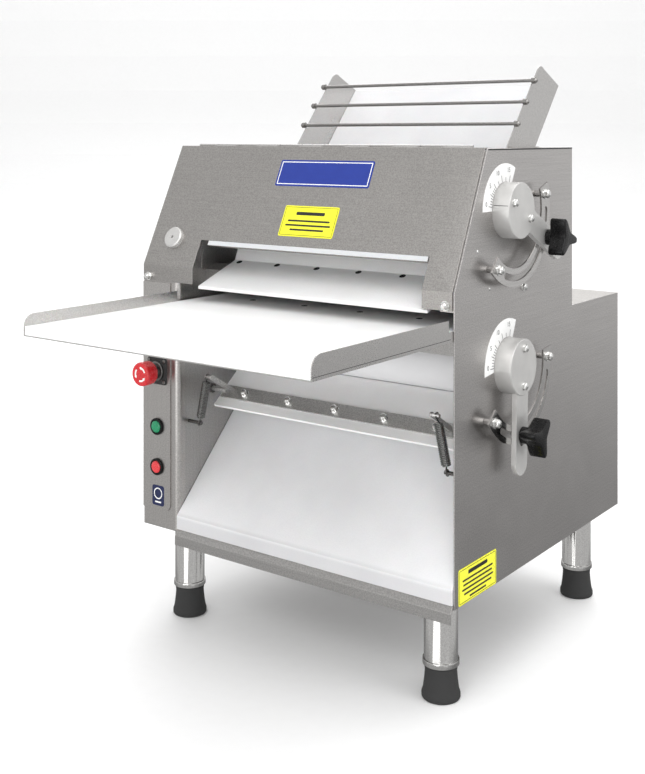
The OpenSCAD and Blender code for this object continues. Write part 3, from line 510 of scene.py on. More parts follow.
def soften(width, *nodes):
    """Rounds the folded and cut edges of CAD nodes: their loose triangles are welded for the
    bevel, which turns each edge sharper than 32 degrees into a small radius."""
    for name in nodes:
        node = frame["nodes"][name]
        weld = node.modifiers.new("weld", "WELD")
        weld.merge_threshold = 0.005 * MM
        edge = node.modifiers.new("edge", "BEVEL")
        edge.width = width * MM
        edge.segments = 2
        edge.limit_method = "ANGLE"
        edge.angle_limit = math.radians(32)
        edge.use_clamp_overlap = True
        edge.harden_normals = True


class SheeterOperator:
    bl_options = {"REGISTER", "UNDO"}


class SHEETER_OT_sheet_metal(SheeterOperator, bpy.types.Operator):
    """Brushed stainless on the body, the hood, the hopper and the tray"""

    bl_idname = "sheeter.sheet_metal"
    bl_label = "Finish Sheet Metal"

    def execute(self, context):
        s = context.scene.sheeter_steel
        side = brushed_stainless("brushed_stainless_side", s.side, "Y", 0.34, s.grain)
        hood = brushed_stainless("brushed_stainless_hood", s.hood, "X", 0.42, s.grain)
        column = brushed_stainless("brushed_stainless_column", s.column, "Z", 0.36, s.grain)
        trim = brushed_stainless("brushed_stainless_trim", s.trim, "X", 0.30, s.grain, 0.06)
        bay = brushed_stainless("brushed_stainless_bay", s.bay, "Z", 0.44, s.grain)
        pan = brushed_stainless("brushed_stainless_pan", "#BCBAB8", "X", 0.38, s.grain)
        arc = brushed_stainless("polished_stainless_arc", "#C8C6C4", "Y", 0.14, s.grain, 0.04)
        coat(side, "right_panel", "left_panel")
        coat(hood, "hood_panel", "rear_cover", "tower_top")
        coat(column, "column_front", "control_cover")
        coat(trim, "hopper_body", "tray_pan", "hinge_leaf_fixed", "hood_hinge_leaf")
        coat(pan, "base_pan")
        coat(arc, "upper_quadrant", "lower_quadrant")
        coat(bay, "bay_wall", "tray_rail", "chute_rail", "infeed_guide", "upper_scraper")
        coat(brushed_stainless("brushed_stainless_bar", "#ECEBE9", "X", 0.44, s.grain), "scraper_bar")
        soften(0.5, "hood_panel", "right_panel", "left_panel", "control_cover", "tray_pan")
        soften(0.35, "upper_quadrant", "lower_quadrant", "hopper_body", "scraper_bar")
        soften(0.7, "base_pan")
        return {"FINISHED"}


class SHEETER_OT_machined(SheeterOperator, bpy.types.Operator):
    """Machined and polished stainless on the adjusters, the legs and the fasteners"""

    bl_idname = "sheeter.machined"
    bl_label = "Finish Machined Parts"

    def execute(self, context):
        s = context.scene.sheeter_steel
        machined = turned_stainless("turned_stainless", s.machined, 0.42, 3.0, 0.6)
        leg = brushed_stainless("drawn_stainless_tube", "#C6C5C3", "Z", 0.12, 1.2, 0.05)
        rod = polished_steel("rolled_steel_rod", "#6E6C6A", 0.22)
        bright = polished_steel("polished_stainless")
        coat(machined, "upper_drum", "lower_drum", "upper_lever", "lower_lever", "hood_knob")
        coat(leg, "legs")
        coat(bright, "hood_screw_left", "hood_screw_right")
        coat(polished_steel("drawn_rod", "#9A9896", 0.26), "hopper_rods")
        coat(rod, "wall_studs")
        soften(0.6, "upper_lever", "lower_lever", "upper_drum", "lower_drum")
        soften(0.4, "legs")
        return {"FINISHED"}


class SHEETER_OT_boards(SheeterOperator, bpy.types.Operator):
    """White polyethylene on the boards and the sleeve of the rollers"""

    bl_idname = "sheeter.boards"
    bl_label = "Finish Boards and Rollers"

    def execute(self, context):
        s = context.scene.sheeter_boards
        tray = sheet_polyethylene("polyethylene_board", s.tray, "#E9E9E8")
        # The slide's fold, below 28.7 mm over the body's bottom, is given painted shade.
        slide = sheet_polyethylene("polyethylene_slide", s.slide, "#E6E6E8", 0.42, "Y", at(0, 0, 28.7)[2])
        roller = sheet_polyethylene("roller_sleeve", s.roller, "#C6C6C5", 0.40, "X")
        coat(tray, "tray_board", "upper_chute", "scraper_blade")
        coat(sheet_polyethylene("polyethylene_liner", "#DFDFE0", "#D2D2D4", 0.44), "hopper_liner")
        coat(slide, "slide_sheet")
        coat(roller, "upper_front_roller", "upper_rear_roller", "lower_front_roller", "lower_rear_roller")
        soften(0.6, "upper_chute", "slide_sheet", "scraper_blade", "hopper_liner")
        soften(2.5, "tray_board")
        return {"FINISHED"}


class SHEETER_OT_drive(SheeterOperator, bpy.types.Operator):
    """Oiled steel, castings and enamel on the drive inside the body"""

    bl_idname = "sheeter.drive"
    bl_label = "Finish Drive"

    def execute(self, context):
        oiled = turned_stainless("oiled_carbon_steel", "#6E6C69", 0.34)
        cast = painted("grey_iron_casting", "#5B5D5F", "#6E7072", 0.55)
        enamel = painted("motor_enamel", "#51606B", "#66747E", 0.35)
        coat(oiled, "upper_front_shaft", "upper_rear_shaft", "lower_front_shaft", "lower_rear_shaft",
             "motor_sprocket", "drive_chains")
        coat(cast, "bearing_housings", "upper_carriers", "lower_carriers")
        coat(enamel, "gearmotor")
        coat(moulded("nylon_gland", "#17181A", "#232427"), "cable_gland")
        return {"FINISHED"}


# ---- Operators: new pieces ----------------------------------------------------------------


class SHEETER_OT_feet(SheeterOperator, bpy.types.Operator):
    """Four moulded rubber feet under the legs"""

    bl_idname = "sheeter.feet"
    bl_label = "Build Feet"

    # (radius, height): flat sole, rounded skirt, a waist that tapers in, and a shoulder under the tube
    profile = [(0.5, 0), (24.5, 0), (27.2, 0.8), (28.4, 2.6), (28.5, 7.5), (27.9, 10.0), (26.7, 13.0),
               (25.6, 20.0), (24.6, 28.0), (23.9, 36.0), (23.6, 41.0), (24.0, 43.5), (24.3, 46.5),
               (23.9, 48.6), (22.6, 49.8), (0.5, 50.0)]

    def execute(self, context):
        rubber = moulded("black_rubber", "#020202", "#060606", 0.5, 1.6, 0.10, Specular_IOR_Level=0.1)
        low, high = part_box("feet")
        reach = 28.5 * MM
        shells = [
            revolve(self.profile, np.array([x, y, low.z]), RISE, 56)
            for x in (low.x + reach, high.x - reach) for y in (low.y + reach, high.y - reach)
        ]
        piece("rubber_feet", shells, rubber, "frame", ("feet",))
        return {"FINISHED"}


class SHEETER_OT_stop_button(SheeterOperator, bpy.types.Operator):
    """Mushroom head with three arrows, a steel neck, and its black base plate"""

    bl_idname = "sheeter.stop_button"
    bl_label = "Build Stop Button"

    def execute(self, context):
        s = context.scene.sheeter_controls
        red = moulded("stop_red_plastic", s.stop, "#DB3038", 0.22, 2.0, 0.02, Coat_Weight=0.4)
        black = moulded("black_plastic", "#060607", "#0E0E0F", 0.34, Specular_IOR_Level=0.25)
        ink = moulded("white_print", "#F2F2F0", "#E6E6E4", 0.5)
        low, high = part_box("estop_head")
        x, z = (low.x + high.x) / 2, (low.z + high.z) / 2
        face = np.array([x, low.y, z])
        r = s.head / 2
        # (radius, distance back from the face): shallow dish, rolled rim, straight side, undercut, and a
        # pocket that goes over the neck
        profile = [(0.2, 1.1), (r * 0.42, 1.0), (r * 0.62, 0.7), (r * 0.74, 0.2), (r * 0.80, 0.0),
                   (r * 0.86, 0.2), (r * 0.93, 0.9), (r * 0.975, 2.2), (r, 4.4), (r, 19.5), (r * 0.985, 21.3),
                   (r * 0.93, 23.4), (r * 0.85, 25.0), (14.8, 25.4), (14.2, 25.2), (14.2, 18.0), (10.0, 18.0),
                   (9.9, 33.0), (0.2, 33.0)]
        piece("stop_head", [revolve(profile, face, BACK, 64)], red, "stop_button",
              ("estop_head",))
        shells = []
        # Each arrow runs 78 degrees round; its half width is even up to the barb and then tapers
        arc, u = 11.0, np.linspace(0, 1, 24)
        barb = 0.72
        wide = np.where(u < barb, 1.5, 4.2 * (1 - u) / (1 - barb) * 0.72 + 0.1)
        for k in range(3):
            t = np.radians(78 * u + 120 * k + 20)
            outer = np.stack([(arc + wide) * np.cos(t), (arc + wide) * np.sin(t)], -1)
            inner = np.stack([(arc - wide) * np.cos(t), (arc - wide) * np.sin(t)], -1)
            outline = np.concatenate([outer, inner[::-1]])
            grid = np.stack([face + (outline[:, :1] * SIDE + outline[:, 1:] * RISE + d * BACK) * MM
                             for d in (1.5, 0.55)])
            shells.append(skin(grid))
        piece("stop_head_arrows", shells, ink, "stop_button", crease=20)
        front = BODY_CORNER[1]
        square = rounded(45, 45, 5)
        back = np.array([x, front - 2 * MM, z])
        collar = [(11.4, 0), (16.5, 0), (16.5, 3.2), (15.6, 4.2), (13.4, 4.6), (13.2, 11.4), (12.4, 12.0),
                  (11.4, 12.0), (11.4, 0)]
        piece("stop_base_plate", [plate(square, back, SIDE, RISE, 1.9, 0.6)], black, "frame",
              ("estop_base",))
        satin = polished_steel("satin_collar", "#7C7B79", 0.3)
        turned = revolve(collar, back - BACK * 1.5 * MM, -BACK, 48)
        piece("stop_neck", [(turned[0], turned[1][:-2])], satin, "frame")
        screws = [hex_head(3.4, 2.4, back + (dx * SIDE + dz * RISE - 1.8 * BACK) * MM, -BACK)
                  for dx, dz in ((17.5, 17.5), (-17.5, -17.5), (17.5, -17.5), (-17.5, 17.5))]
        piece("stop_base_screws", screws, satin, "frame")
        return {"FINISHED"}


class SHEETER_OT_push_buttons(SheeterOperator, bpy.types.Operator):
    """Domed caps in black bezels"""

    bl_idname = "sheeter.push_buttons"
    bl_label = "Build Push Buttons"

    def execute(self, context):
        s = context.scene.sheeter_controls
        black = moulded("bezel_black_plastic", "#050506", "#0C0C0D", 0.26, Specular_IOR_Level=0.3)
        rings = []
        for node, body, slot, colour, worn in (
            ("green_cap", "start_button", "green_plastic", s.go, "#1A9164"),
            ("red_cap", "halt_button", "red_plastic", s.halt, "#DE454A"),
        ):
            low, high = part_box(node)
            centre = np.array([(low.x + high.x) / 2, low.y, (low.z + high.z) / 2])
            r = (high.x - low.x) / 2 / MM
            # (radius, distance back from the face): a shallow dome with a soft edge
            depth = (high.y - low.y) / MM
            cap = [(0.2, 0.0), (r * 0.45, 0.12), (r * 0.75, 0.45), (r * 0.9, 0.95), (r * 0.985, 1.8),
                   (r, 3.0), (r, depth), (0.2, depth)]
            plastic = moulded(node + "_plastic", colour, worn, 0.24, 2.0, 0.02, Coat_Weight=0.3)
            piece(node + "_domed", [revolve(cap, centre, BACK, 48)], plastic, body, (node,))
            front = np.array([centre[0], BODY_CORNER[1] - 2 * MM, centre[2]])
            inner = r + 0.35
            ring = [(inner, -1.0), (inner, 3.4), (inner + 0.5, 4.0), (13.2, 3.9), (14.0, 3.2), (14.25, 1.8),
                    (14.25, 0.05), (inner, -1.0)]
            shell = revolve(ring, front, -BACK, 48)
            rings.append((shell[0], shell[1][:-2]))
        piece("button_rings", rings, black, "frame", ("button_bezels",))
        return {"FINISHED"}


def lobes(theta, reach, root, tip, hub):
    """Radius of a three-lobed knob at an angle. Each lobe narrows from half width root on the centre
    to tip at its end, so a ray at d from its middle leaves by the side at
    root / (sin d + (root - tip) / reach * cos d) or by the end at reach / cos d; the two, and the
    three lobes with the hub, are blended by high-power sums."""
    total = np.full_like(theta, hub ** 10)
    for k in range(3):
        d = theta - k * 2 * math.pi / 3
        ahead = np.maximum(np.cos(d), 1e-4)
        side = root / (np.abs(np.sin(d)) + (root - tip) / reach * ahead)
        bar = (side ** -8 + (reach / ahead) ** -8) ** (-1 / 8)
        total += np.where(np.cos(d) > 0, bar, 0.0) ** 10
    return np.minimum(total ** 0.1, reach)


class SHEETER_OT_knobs(SheeterOperator, bpy.types.Operator):
    """Three-lobed black clamp knobs with their studs and nuts"""

    bl_idname = "sheeter.knobs"
    bl_label = "Build Clamp Knobs"

    # (height, share of the lobes, scale): round hub, step out to the lobes, rolled edges, flat end
    rows = [(0.0, 0.0, 0.05), (0.0, 0.0, 0.92), (0.6, 0.0, 0.99), (8.4, 0.0, 0.99), (9.3, 0.3, 0.99),
            (9.7, 0.9, 0.95), (10.4, 1.0, 0.97), (11.6, 1.0, 0.995), (33.2, 1.0, 0.99), (34.3, 1.0, 0.965),
            (34.9, 1.0, 0.925), (35.0, 1.0, 0.88), (35.0, 1.0, 0.03)]

    def execute(self, context):
        s = context.scene.sheeter_fittings
        black = moulded("black_phenolic", "#030304", "#080809", 0.24, 1.8, 0.05, Specular_IOR_Level=0.25)
        bright = polished_steel("polished_stainless")
        theta = np.linspace(0, 2 * math.pi, 120, endpoint=False)
        for stage, facts in STAGES.items():
            low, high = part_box(stage + "_knob")
            turn = math.radians(facts["lever"] + 17)
            foot = on_side(facts, 100.0, facts["lever"], 26.7)
            outline = lobes(theta, s.knob_reach, s.lobe_root, s.lobe_tip, 9.5)
            grid = []
            for height, share, scale in self.rows:
                r = scale * (12.4 * (1 - share) + outline * share)
                flat = (r * np.cos(theta + turn))[:, None] * BACK + (r * np.sin(theta + turn))[:, None] * RISE
                grid.append(foot + (flat + height * SIDE) * MM)
            piece(stage + "_clamp_knob", [skin(np.stack(grid))], black, stage + "_clamp",
                  (stage + "_knob",), crease=50)
            back = on_side(facts, 100.0, facts["lever"], 0.0)
            stud = [(0.1, 9.0), (3.6, 9.0), (4.0, 9.6), (4.0, 27.2), (0.1, 27.2)]
            nut = hex_head(7.0, 5.0, back + 14.7 * SIDE * MM, -SIDE)
            piece(stage + "_clamp_stud", [revolve(stud, back, SIDE, 32), nut], bright, stage + "_clamp")
        return {"FINISHED"}


class SHEETER_OT_dials(SheeterOperator, bpy.types.Operator):
    """White arc scales with their marks and numbers, and the upper drum's index line"""

    bl_idname = "sheeter.dials"
    bl_label = "Build Dials"

    def execute(self, context):
        s = context.scene.sheeter_fittings
        film = moulded("white_vinyl_film", "#EDEDEC", "#E2E2E1", 0.45, 2.5, 0.02)
        ink = moulded("black_print", "#1A1A1B", "#242425", 0.5)
        for stage, facts in STAGES.items():
            start, end = facts["dial"]
            t = np.radians(np.linspace(start, end, 60))
            ring = lambda r, a: np.stack([r * np.cos(a), r * np.sin(a)], -1)
            outline = np.concatenate([ring(70.0, t), ring(42.6, t[::-1])])
            centre = at(0, facts["y"], facts["z"])
            piece(stage + "_dial", [plate(outline, centre, BACK, RISE, 0.4)], film, "frame", crease=20)
            marks = []
            spots = [end - 8 - 5.0 * k for k in range(9)] + [end - 62, end - 76, end - 91, end - 106]
            for n, degrees in enumerate(spots):
                long = 10.0 if n in (0, 4, 8, 10, 12) else 6.0
                out, round_ = radial(degrees)
                middle = centre + (out * (43.2 + long / 2) + 0.4 * SIDE) * MM
                marks.append(plate(rounded(long, s.ink, 0.2, 3), middle, out, round_, 0.12))
            piece(stage + "_dial_marks", marks, ink, "frame", crease=20)
            for label, degrees in (("0", end - 10), ("5", end - 38), ("10", end - 66), ("15", end - 100)):
                curve = bpy.data.curves.new("digits", "FONT")
                curve.body, curve.size = label, 10.0 * MM
                curve.align_x, curve.align_y = "CENTER", "CENTER"
                curve.extrude = 0.06 * MM
                curve.resolution_u = 3
                text = bpy.data.objects.new("digits", curve)
                bpy.context.scene.collection.objects.link(text)
                bpy.context.view_layer.update()
                depsgraph = bpy.context.evaluated_depsgraph_get()
                mesh = bpy.data.meshes.new_from_object(text.evaluated_get(depsgraph))
                co = np.empty(len(mesh.vertices) * 3, np.float32)
                mesh.vertices.foreach_get("co", co)
                co = co.reshape(-1, 3)
                spot = on_side(facts, 60.5, degrees, 0.46)
                placed = spot + co[:, :1] * BACK + co[:, 1:2] * RISE + co[:, 2:] * SIDE
                mesh.vertices.foreach_set("co", placed.astype(np.float32).ravel())
                bpy.data.objects.remove(text)
                mesh.materials.clear()
                mesh.materials.append(ink)
                made = bpy.data.objects.new(f"{stage}_dial_number_{label}", mesh)
                bpy.context.scene.collection.objects.link(made)
                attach(made, "frame")
        upper = STAGES["upper"]
        out, round_ = radial(168)
        rim = at(14, upper["y"], upper["z"]) + 42.0 * out * MM
        piece("upper_index_line", [plate(rounded(24, 0.9, 0.3, 3), rim, SIDE, round_, 0.15)], ink,
              "upper_adjuster", crease=20)
        return {"FINISHED"}


class SHEETER_OT_fasteners(SheeterOperator, bpy.types.Operator):
    """Bright bolts on the drums and arcs, the scraper's nuts, the panel's bolt, rivets and screws"""

    bl_idname = "sheeter.fasteners"
    bl_label = "Build Fasteners"

    def execute(self, context):
        bright = polished_steel("polished_stainless")
        washer = lambda r: [(0.5, 0), (r, 0), (r, 0.9), (r - 0.4, 1.3), (0.5, 1.3)]
        for stage, facts in STAGES.items():
            shells = []
            for side in (-28.0, 28.0):
                spot = on_side(facts, side, facts["lever"], 27.9)
                shells += [revolve(washer(6.4), spot, SIDE, 32),
                           hex_head(5.6, 5.6, spot + 0.9 * SIDE * MM, SIDE)]
            piece(stage + "_drum_bolts", shells, bright, stage + "_adjuster")
            shells = []
            for degrees in facts["bolts"]:
                spot = on_side(facts, 100.0, degrees, 17.95)
                shells += [revolve(washer(7.9), spot, SIDE, 32),
                           hex_head(6.4, 7.6, spot + 1.1 * SIDE * MM, SIDE)]
            piece(stage + "_arc_bolts", shells, bright, "frame")
        panel = [revolve(washer(6.6), at(0, 209, 429), SIDE, 32),
                 hex_head(6.0, 4.6, at(1.1, 209, 429), SIDE, 0.3)]
        rivet = [(0.1, 0.9), (1.6, 0.8), (2.7, 0.4), (3.2, 0.0), (0.1, 0.0)]
        panel += [revolve(rivet, at(0, y, z), SIDE, 24) for y, z in ((66, 494), (102, 437))]
        piece("panel_bolt_and_rivets", panel, bright, "frame")
        # The scraper's nuts stand on its bar, which leans back by 39 degrees
        lean = math.radians(39.0)
        out = np.array([0, -math.sin(lean), math.cos(lean)])
        foot = at(BAY_CENTRE, 82.8, 223.9) + out * 3.0 * MM
        nuts = []
        for k in range(-2, 3):
            spot = foot + SIDE * 94.0 * k * MM
            nuts += [revolve(washer(7.3), spot, out, 32), hex_head(6.1, 7.0, spot + out * 1.1 * MM, out)]
        piece("scraper_nuts", nuts, bright, "scraper")
        # Painted shadow: the sunk screws get a dull near-black colour so that they read as heads shaded in
        # their hollows.
        dark = moulded("screw_painted_shadow", "#141415", "#1C1C1D", 0.5, Specular_IOR_Level=0.1)
        # (radius, height): a hollow in the middle and a flat ring
        sunk_screw = [(0.2, -0.6), (1.4, -0.6), (1.7, 0.1), (5.1, 0.1), (5.3, -0.1), (3.8, -2.0), (0.2, -2.0)]
        level = (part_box("tray_board")[1].z - BODY_CORNER[2]) / MM + 0.1
        sunk = [revolve(sunk_screw, at(BAY_CENTRE + 108.5 * k, 73, level), RISE, 24)
                for k in (-1.5, -0.5, 0.5, 1.5)]
        piece("tray_screws", sunk, dark, "tray")
        # The chute's rear part rises by 35 in 92
        chute_up = unit(np.array([0, -35.0, 92.0]))
        piece("chute_screws", [revolve(sunk_screw, at(BAY_CENTRE + 82.2 * k, 88, 446.9), chute_up, 24)
                               for k in (-2.5, -1.5, -0.5, 0.5, 1.5, 2.5)], dark, "frame")
        return {"FINISHED"}


class SHEETER_OT_seams(SheeterOperator, bpy.types.Operator):
    """Painted shadow lines in the tower's seam and in the gap above the tray's hem, the white edge over the
    window, the strip on the bay's wall
    """

    bl_idname = "sheeter.seams"
    bl_label = "Build Seams"

    def execute(self, context):
        # The dark strips are painted shadow: they stand for the shade in the gap of the tower's seam and in
        # the gap above the tray's hem.
        gap_shade = moulded("painted_gap_shadow", "#1C1C1D", "#262627", 0.5, 2.0, 0.04)
        steel = brushed_stainless("brushed_stainless_bay", context.scene.sheeter_steel.bay, "Z", 0.44)
        piece("tower_seam_shadow_line", [plate(rounded(288, 2.2, 0.8, 3), at(0, 241.5, 640.8), BACK, RISE, 0.3)], gap_shade,
              "frame")
        piece("tray_hem_shadow_line", [plate(rounded(318, 0.7, 0.2, 3), at(-2.3, -166, 377.8), BACK, RISE, 0.12)], gap_shade,
              "tray")
        white = sheet_polyethylene("polyethylene_edge", "#D0D0D2", "#C4C4C6", 0.5)
        edge = plate(rounded(424, 7.6, 0.4, 3), on_hood(BAY_CENTRE - 1, 46, -0.39), SIDE, UP_SLOPE, 0.3)
        piece("window_edge", [edge], white, "hood")
        strip = plate(rounded(16, 46, 1.5, 3), at(BAY_LEFT + 0.1, 65, 459), BACK, RISE, 1.4, 0.3)
        piece("wall_strip", [strip], steel, "frame")
        return {"FINISHED"}


class SHEETER_OT_springs(SheeterOperator, bpy.types.Operator):
    """Two close-wound springs with hooks that hold the scraper against its roller"""

    bl_idname = "sheeter.springs"
    bl_label = "Build Springs"

    def spring_path(self, low, top, coil, wire):
        """Hook round the low pin, helix up the line between the pins, hook round the top pin.
        The helix is line + coil radius x (cos t, sin t), and its radius runs down to the axis at
        both ends so that the hooks start on the line."""
        line = top - low
        length = np.linalg.norm(line)
        axis = line / length
        side = unit(np.cross(axis, SIDE))
        ring = 4.4 * MM
        body = length - 4.0 * ring
        turns = int(body / (wire * 1.12 * MM))
        u = np.linspace(0, 1, turns * 18)
        t = 2 * math.pi * turns * u
        grow = np.clip(np.minimum(u, 1 - u) * turns / 0.6, 0, 1)
        radius = (coil - wire) / 2 * MM * (0.12 + 0.88 * grow * grow * (3 - 2 * grow))
        other = np.cross(axis, side)
        helix = (low + axis * (2 * ring + body * u)[:, None]
                 + (radius * np.cos(t))[:, None] * side + (radius * np.sin(t))[:, None] * other)
        a = np.radians(np.linspace(-60, 265, 22))
        hook = lambda c, s: c + ring * (np.sin(a)[:, None] * side + s * -np.cos(a)[:, None] * axis)
        return np.concatenate([hook(low, 1), helix, hook(top, -1)[::-1]])

    def execute(self, context):
        s = context.scene.sheeter_fittings
        wire = polished_steel("bright_spring_wire", "#8A8A88", 0.2)
        for name, edge, way in (("left", BAY_LEFT, 1.0), ("right", BAY_RIGHT, -1.0)):
            low, top = at(edge + way * 25, 26, 181), at(edge + way * 42, 26, 260)
            path = self.spring_path(low, top, s.coil, s.wire)
            made = piece(f"scraper_spring_{name}", [carry(path, circle(s.wire / 2, 8))], wire, "frame",
                         (f"spring_{name}",), crease=60)
            made.parent = None
            del made["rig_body"]
            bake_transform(made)
        return {"FINISHED"}


class SHEETER_OT_labels(SheeterOperator, bpy.types.Operator):
    """Blank nameplate and labels, each with a plain border and no lettering"""

    bl_idname = "sheeter.labels"
    bl_label = "Build Labels"

    def label(self, name, body, centre, u, v, size, corner, film, line, inset, width, bars=()):
        """A film with a line inside its edge and plain bars, each (along u, along v, long, high)."""
        piece(name, [plate(rounded(*size, corner), centre, u, v, 0.35)], film, body, crease=20)
        out = np.cross(unit(u), unit(v))
        top = centre + out * 0.33 * MM
        within = lambda d, least: rounded(size[0] - 2 * d, size[1] - 2 * d, max(corner - d, least))
        shells = [band(within(inset, 0.6), within(inset + width, 0.4), top, u, v, 0.12)]
        for a, b, long, high in bars:
            middle = top + (a * unit(u) + b * unit(v)) * MM
            shells.append(plate(rounded(long, high, high * 0.3, 3), middle, u, v, 0.12))
        piece(name + "_print", shells, line, body, crease=20)

    def execute(self, context):
        blue = moulded("blue_enamel_plate", "#173089", "#1B3590", 0.40, 2.5, 0.02)
        navy = moulded("navy_vinyl_film", "#101D4A", "#142252", 0.45, 2.5, 0.02)
        yellow = moulded("yellow_vinyl_film", "#ECEB2E", "#E2E03A", 0.42, 2.5, 0.02)
        ink = moulded("black_print", "#1A1A1B", "#242425", 0.5)
        white = moulded("white_print", "#F2F2F0", "#E6E6E4", 0.5)
        self.label("nameplate", "hood", on_hood(-281.5, 175.0), SIDE, UP_SLOPE, (185, 46), 3, blue, white,
                   3.0, 1.4)
        self.label("hood_label", "hood", on_hood(-285.2, 92.5), SIDE, UP_SLOPE, (106.5, 52), 3, yellow, ink,
                   2.2, 0.7, ((0, 13.0, 56, 5.6), (0, 0.5, 82, 3.0), (0, -7.0, 88, 3.0), (0, -14.5, 66, 3.0)))
        self.label("side_label", "frame", at(0, 65.5, 26.5), BACK, RISE, (110, 51), 3, yellow, ink, 2.2, 0.7,
                   ((0, 16.0, 56, 5.6), (0, 7.0, 88, 2.6), (0, 0.5, 84, 2.6), (0, -6.0, 90, 2.6),
                    (0, -12.5, 80, 2.6), (0, -18.8, 48, 2.6)))
        sticker = at(-574.5, -2, 53.5)
        piece("column_sticker", [plate(rounded(27, 34, 4), sticker, SIDE, RISE, 0.35)], navy, "frame",
              crease=20)
        ring = band(rounded(19.2, 19.2, 9.5, 10), rounded(15.6, 15.6, 7.7, 10),
                    sticker + (3.5 * RISE - 0.33 * BACK) * MM, SIDE, RISE, 0.12)
        bar = plate(rounded(14, 2.6, 0.8, 3), sticker - (11.0 * RISE + 0.33 * BACK) * MM, SIDE, RISE, 0.12)
        piece("column_sticker_print", [ring, bar], white, "frame", crease=20)
        return {"FINISHED"}


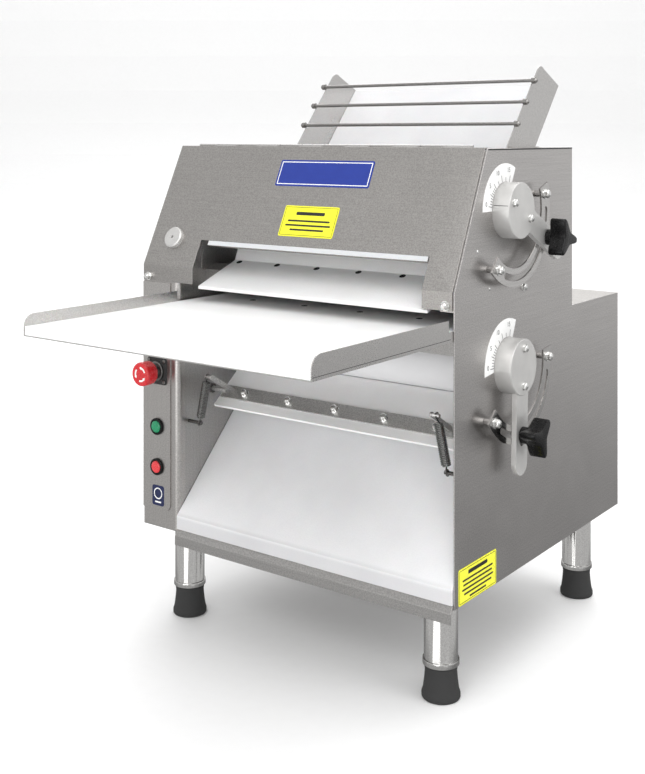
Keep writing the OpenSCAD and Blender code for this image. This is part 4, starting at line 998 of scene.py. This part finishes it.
class SHEETER_OT_studio(SheeterOperator, bpy.types.Operator):
    """Pale floor, soft lights and the camera"""

    bl_idname = "sheeter.studio"
    bl_label = "Build Studio"

    def sky(self, tree, strength):
        """Light by direction: even above the horizon, and dim below it but for a bright window to
        the front right, so that upright steel shows depth."""
        where = add(tree, "TexCoord").outputs["Generated"]
        height = add(tree, "SeparateXYZ", {"Vector": where}).outputs["Z"]

        def toward(degrees):
            a = math.radians(degrees)
            return add(tree, "VectorMath", {0: where, 1: (math.cos(a), math.sin(a), 0)},
                       operation="DOT_PRODUCT").outputs["Value"]

        front = ramp(tree, toward(-80), -0.3, 0.5, 0.30, 0.58)
        window = ramp(tree, toward(-31), 0.93, 0.985, 0.0, 0.75)
        low = add(tree, "Math", {0: front, 1: window}, operation="ADD").outputs[0]
        power = ramp(tree, height, -0.25, -0.13, low, strength)
        return add(tree, "Background", {"Color": [1.0, 1.0, 1.0, 1.0], "Strength": power}).outputs[0]

    def execute(self, context):
        s = context.scene.sheeter_studio
        scene = context.scene
        paper = moulded("studio_paper", "#FFFFFF", "#FDFDFD", 0.9, 6.0, 0.02)
        mesh = bpy.data.meshes.new("floor")
        t = np.linspace(0, math.pi / 2, 12)
        # (ahead of the camera, height) in metres: a level floor that turns up by a radius of 2
        bend = np.stack([5.0 + 2.0 * np.sin(t), 2.0 - 2.0 * np.cos(t)], -1)
        run = np.concatenate([[[-9.0, 0.0]], bend, [[7.0, 9.0]]])
        turn = math.radians(36.7)
        ahead = np.array([-math.sin(turn), math.cos(turn), 0])
        right = np.array([math.cos(turn), math.sin(turn), 0])
        grid = np.stack([a * ahead + z * RISE + np.stack([right * w for w in (-12.0, 12.0)]) for a, z in run])
        points, faces = skin(grid, ring=False, caps=False)
        mesh.from_pydata(points.tolist(), [], faces)
        mesh.materials.append(paper)
        floor = bpy.data.objects.new("floor", mesh)
        scene.collection.objects.link(floor)
        floor.visible_glossy = False
        world = bpy.data.worlds.new("studio")
        world.use_nodes = True
        tree = world.node_tree
        tree.nodes.clear()
        add(tree, "OutputWorld", {"Surface": self.sky(tree, s.sky)})
        scene.world = world
        for name, spot, size, power in (
            ("key", (1.3, -2.4, 3.2), 2.6, s.key),
            ("side", (3.2, 0.2, 2.0), 2.0, s.key * 0.35),
            ("fill", (0.2, -3.0, 0.6), 2.0, s.key * 0.35),
            ("top", (0.4, 0.8, 3.4), 2.4, s.key * 0.5),
            ("backdrop", (-2.4, 3.4, 4.0), 4.0, s.key * 1.7),
        ):
            light = bpy.data.lights.new(name, "AREA")
            light.shape, light.size, light.energy = "SQUARE", size, power
            lamp = bpy.data.objects.new(name, light)
            lamp.location = spot
            aim = Vector((0, 0, 0.45)) - Vector(spot)
            lamp.rotation_euler = aim.to_track_quat("-Z", "Y").to_euler()
            scene.collection.objects.link(lamp)
        lens = bpy.data.cameras.new("camera")
        lens.lens, lens.sensor_width = 53.27, 36.0
        lens.shift_x, lens.shift_y = 0.0, -0.323
        camera = bpy.data.objects.new("camera", lens)
        camera.location = (1.0798, -1.5235, 0.8162)
        camera.rotation_euler = (math.pi / 2, 0, math.radians(36.73))
        scene.collection.objects.link(camera)
        scene.camera = camera
        scene.view_settings.view_transform = "Standard"
        return {"FINISHED"}


OPERATORS = (
    SHEETER_OT_sheet_metal, SHEETER_OT_machined, SHEETER_OT_boards, SHEETER_OT_drive, SHEETER_OT_feet,
    SHEETER_OT_stop_button, SHEETER_OT_push_buttons, SHEETER_OT_knobs, SHEETER_OT_dials, SHEETER_OT_fasteners,
    SHEETER_OT_seams, SHEETER_OT_springs, SHEETER_OT_labels, SHEETER_OT_studio,
)
SETTINGS = {
    "sheeter_steel": SheeterSteelSettings,
    "sheeter_boards": SheeterBoardSettings,
    "sheeter_controls": SheeterControlSettings,
    "sheeter_fittings": SheeterFittingSettings,
    "sheeter_studio": SheeterStudioSettings,
}


class SHEETER_PT_panel(bpy.types.Panel):
    """The sheeter's settings and its build steps"""

    bl_idname = "SHEETER_PT_panel"
    bl_label = "Dough Sheeter"
    bl_space_type = "VIEW_3D"
    bl_region_type = "UI"
    bl_category = "Sheeter"

    def draw(self, context):
        for key, group in SETTINGS.items():
            box = self.layout.box()
            for name in group.__annotations__:
                box.prop(getattr(context.scene, key), name)
        for operator in OPERATORS:
            self.layout.operator(operator.bl_idname)


def register():
    for group in (*SETTINGS.values(), *OPERATORS, SHEETER_PT_panel):
        bpy.utils.register_class(group)
    for key, group in SETTINGS.items():
        setattr(bpy.types.Scene, key, bpy.props.PointerProperty(type=group))


def unregister():
    for key in SETTINGS:
        delattr(bpy.types.Scene, key)
    for group in (SHEETER_PT_panel, *reversed(OPERATORS), *SETTINGS.values()):
        bpy.utils.unregister_class(group)


def main():
    register()
    for operator in OPERATORS:
        group, name = operator.bl_idname.split(".")
        getattr(getattr(bpy.ops, group), name)()


if __name__ == "__main__":
    main()
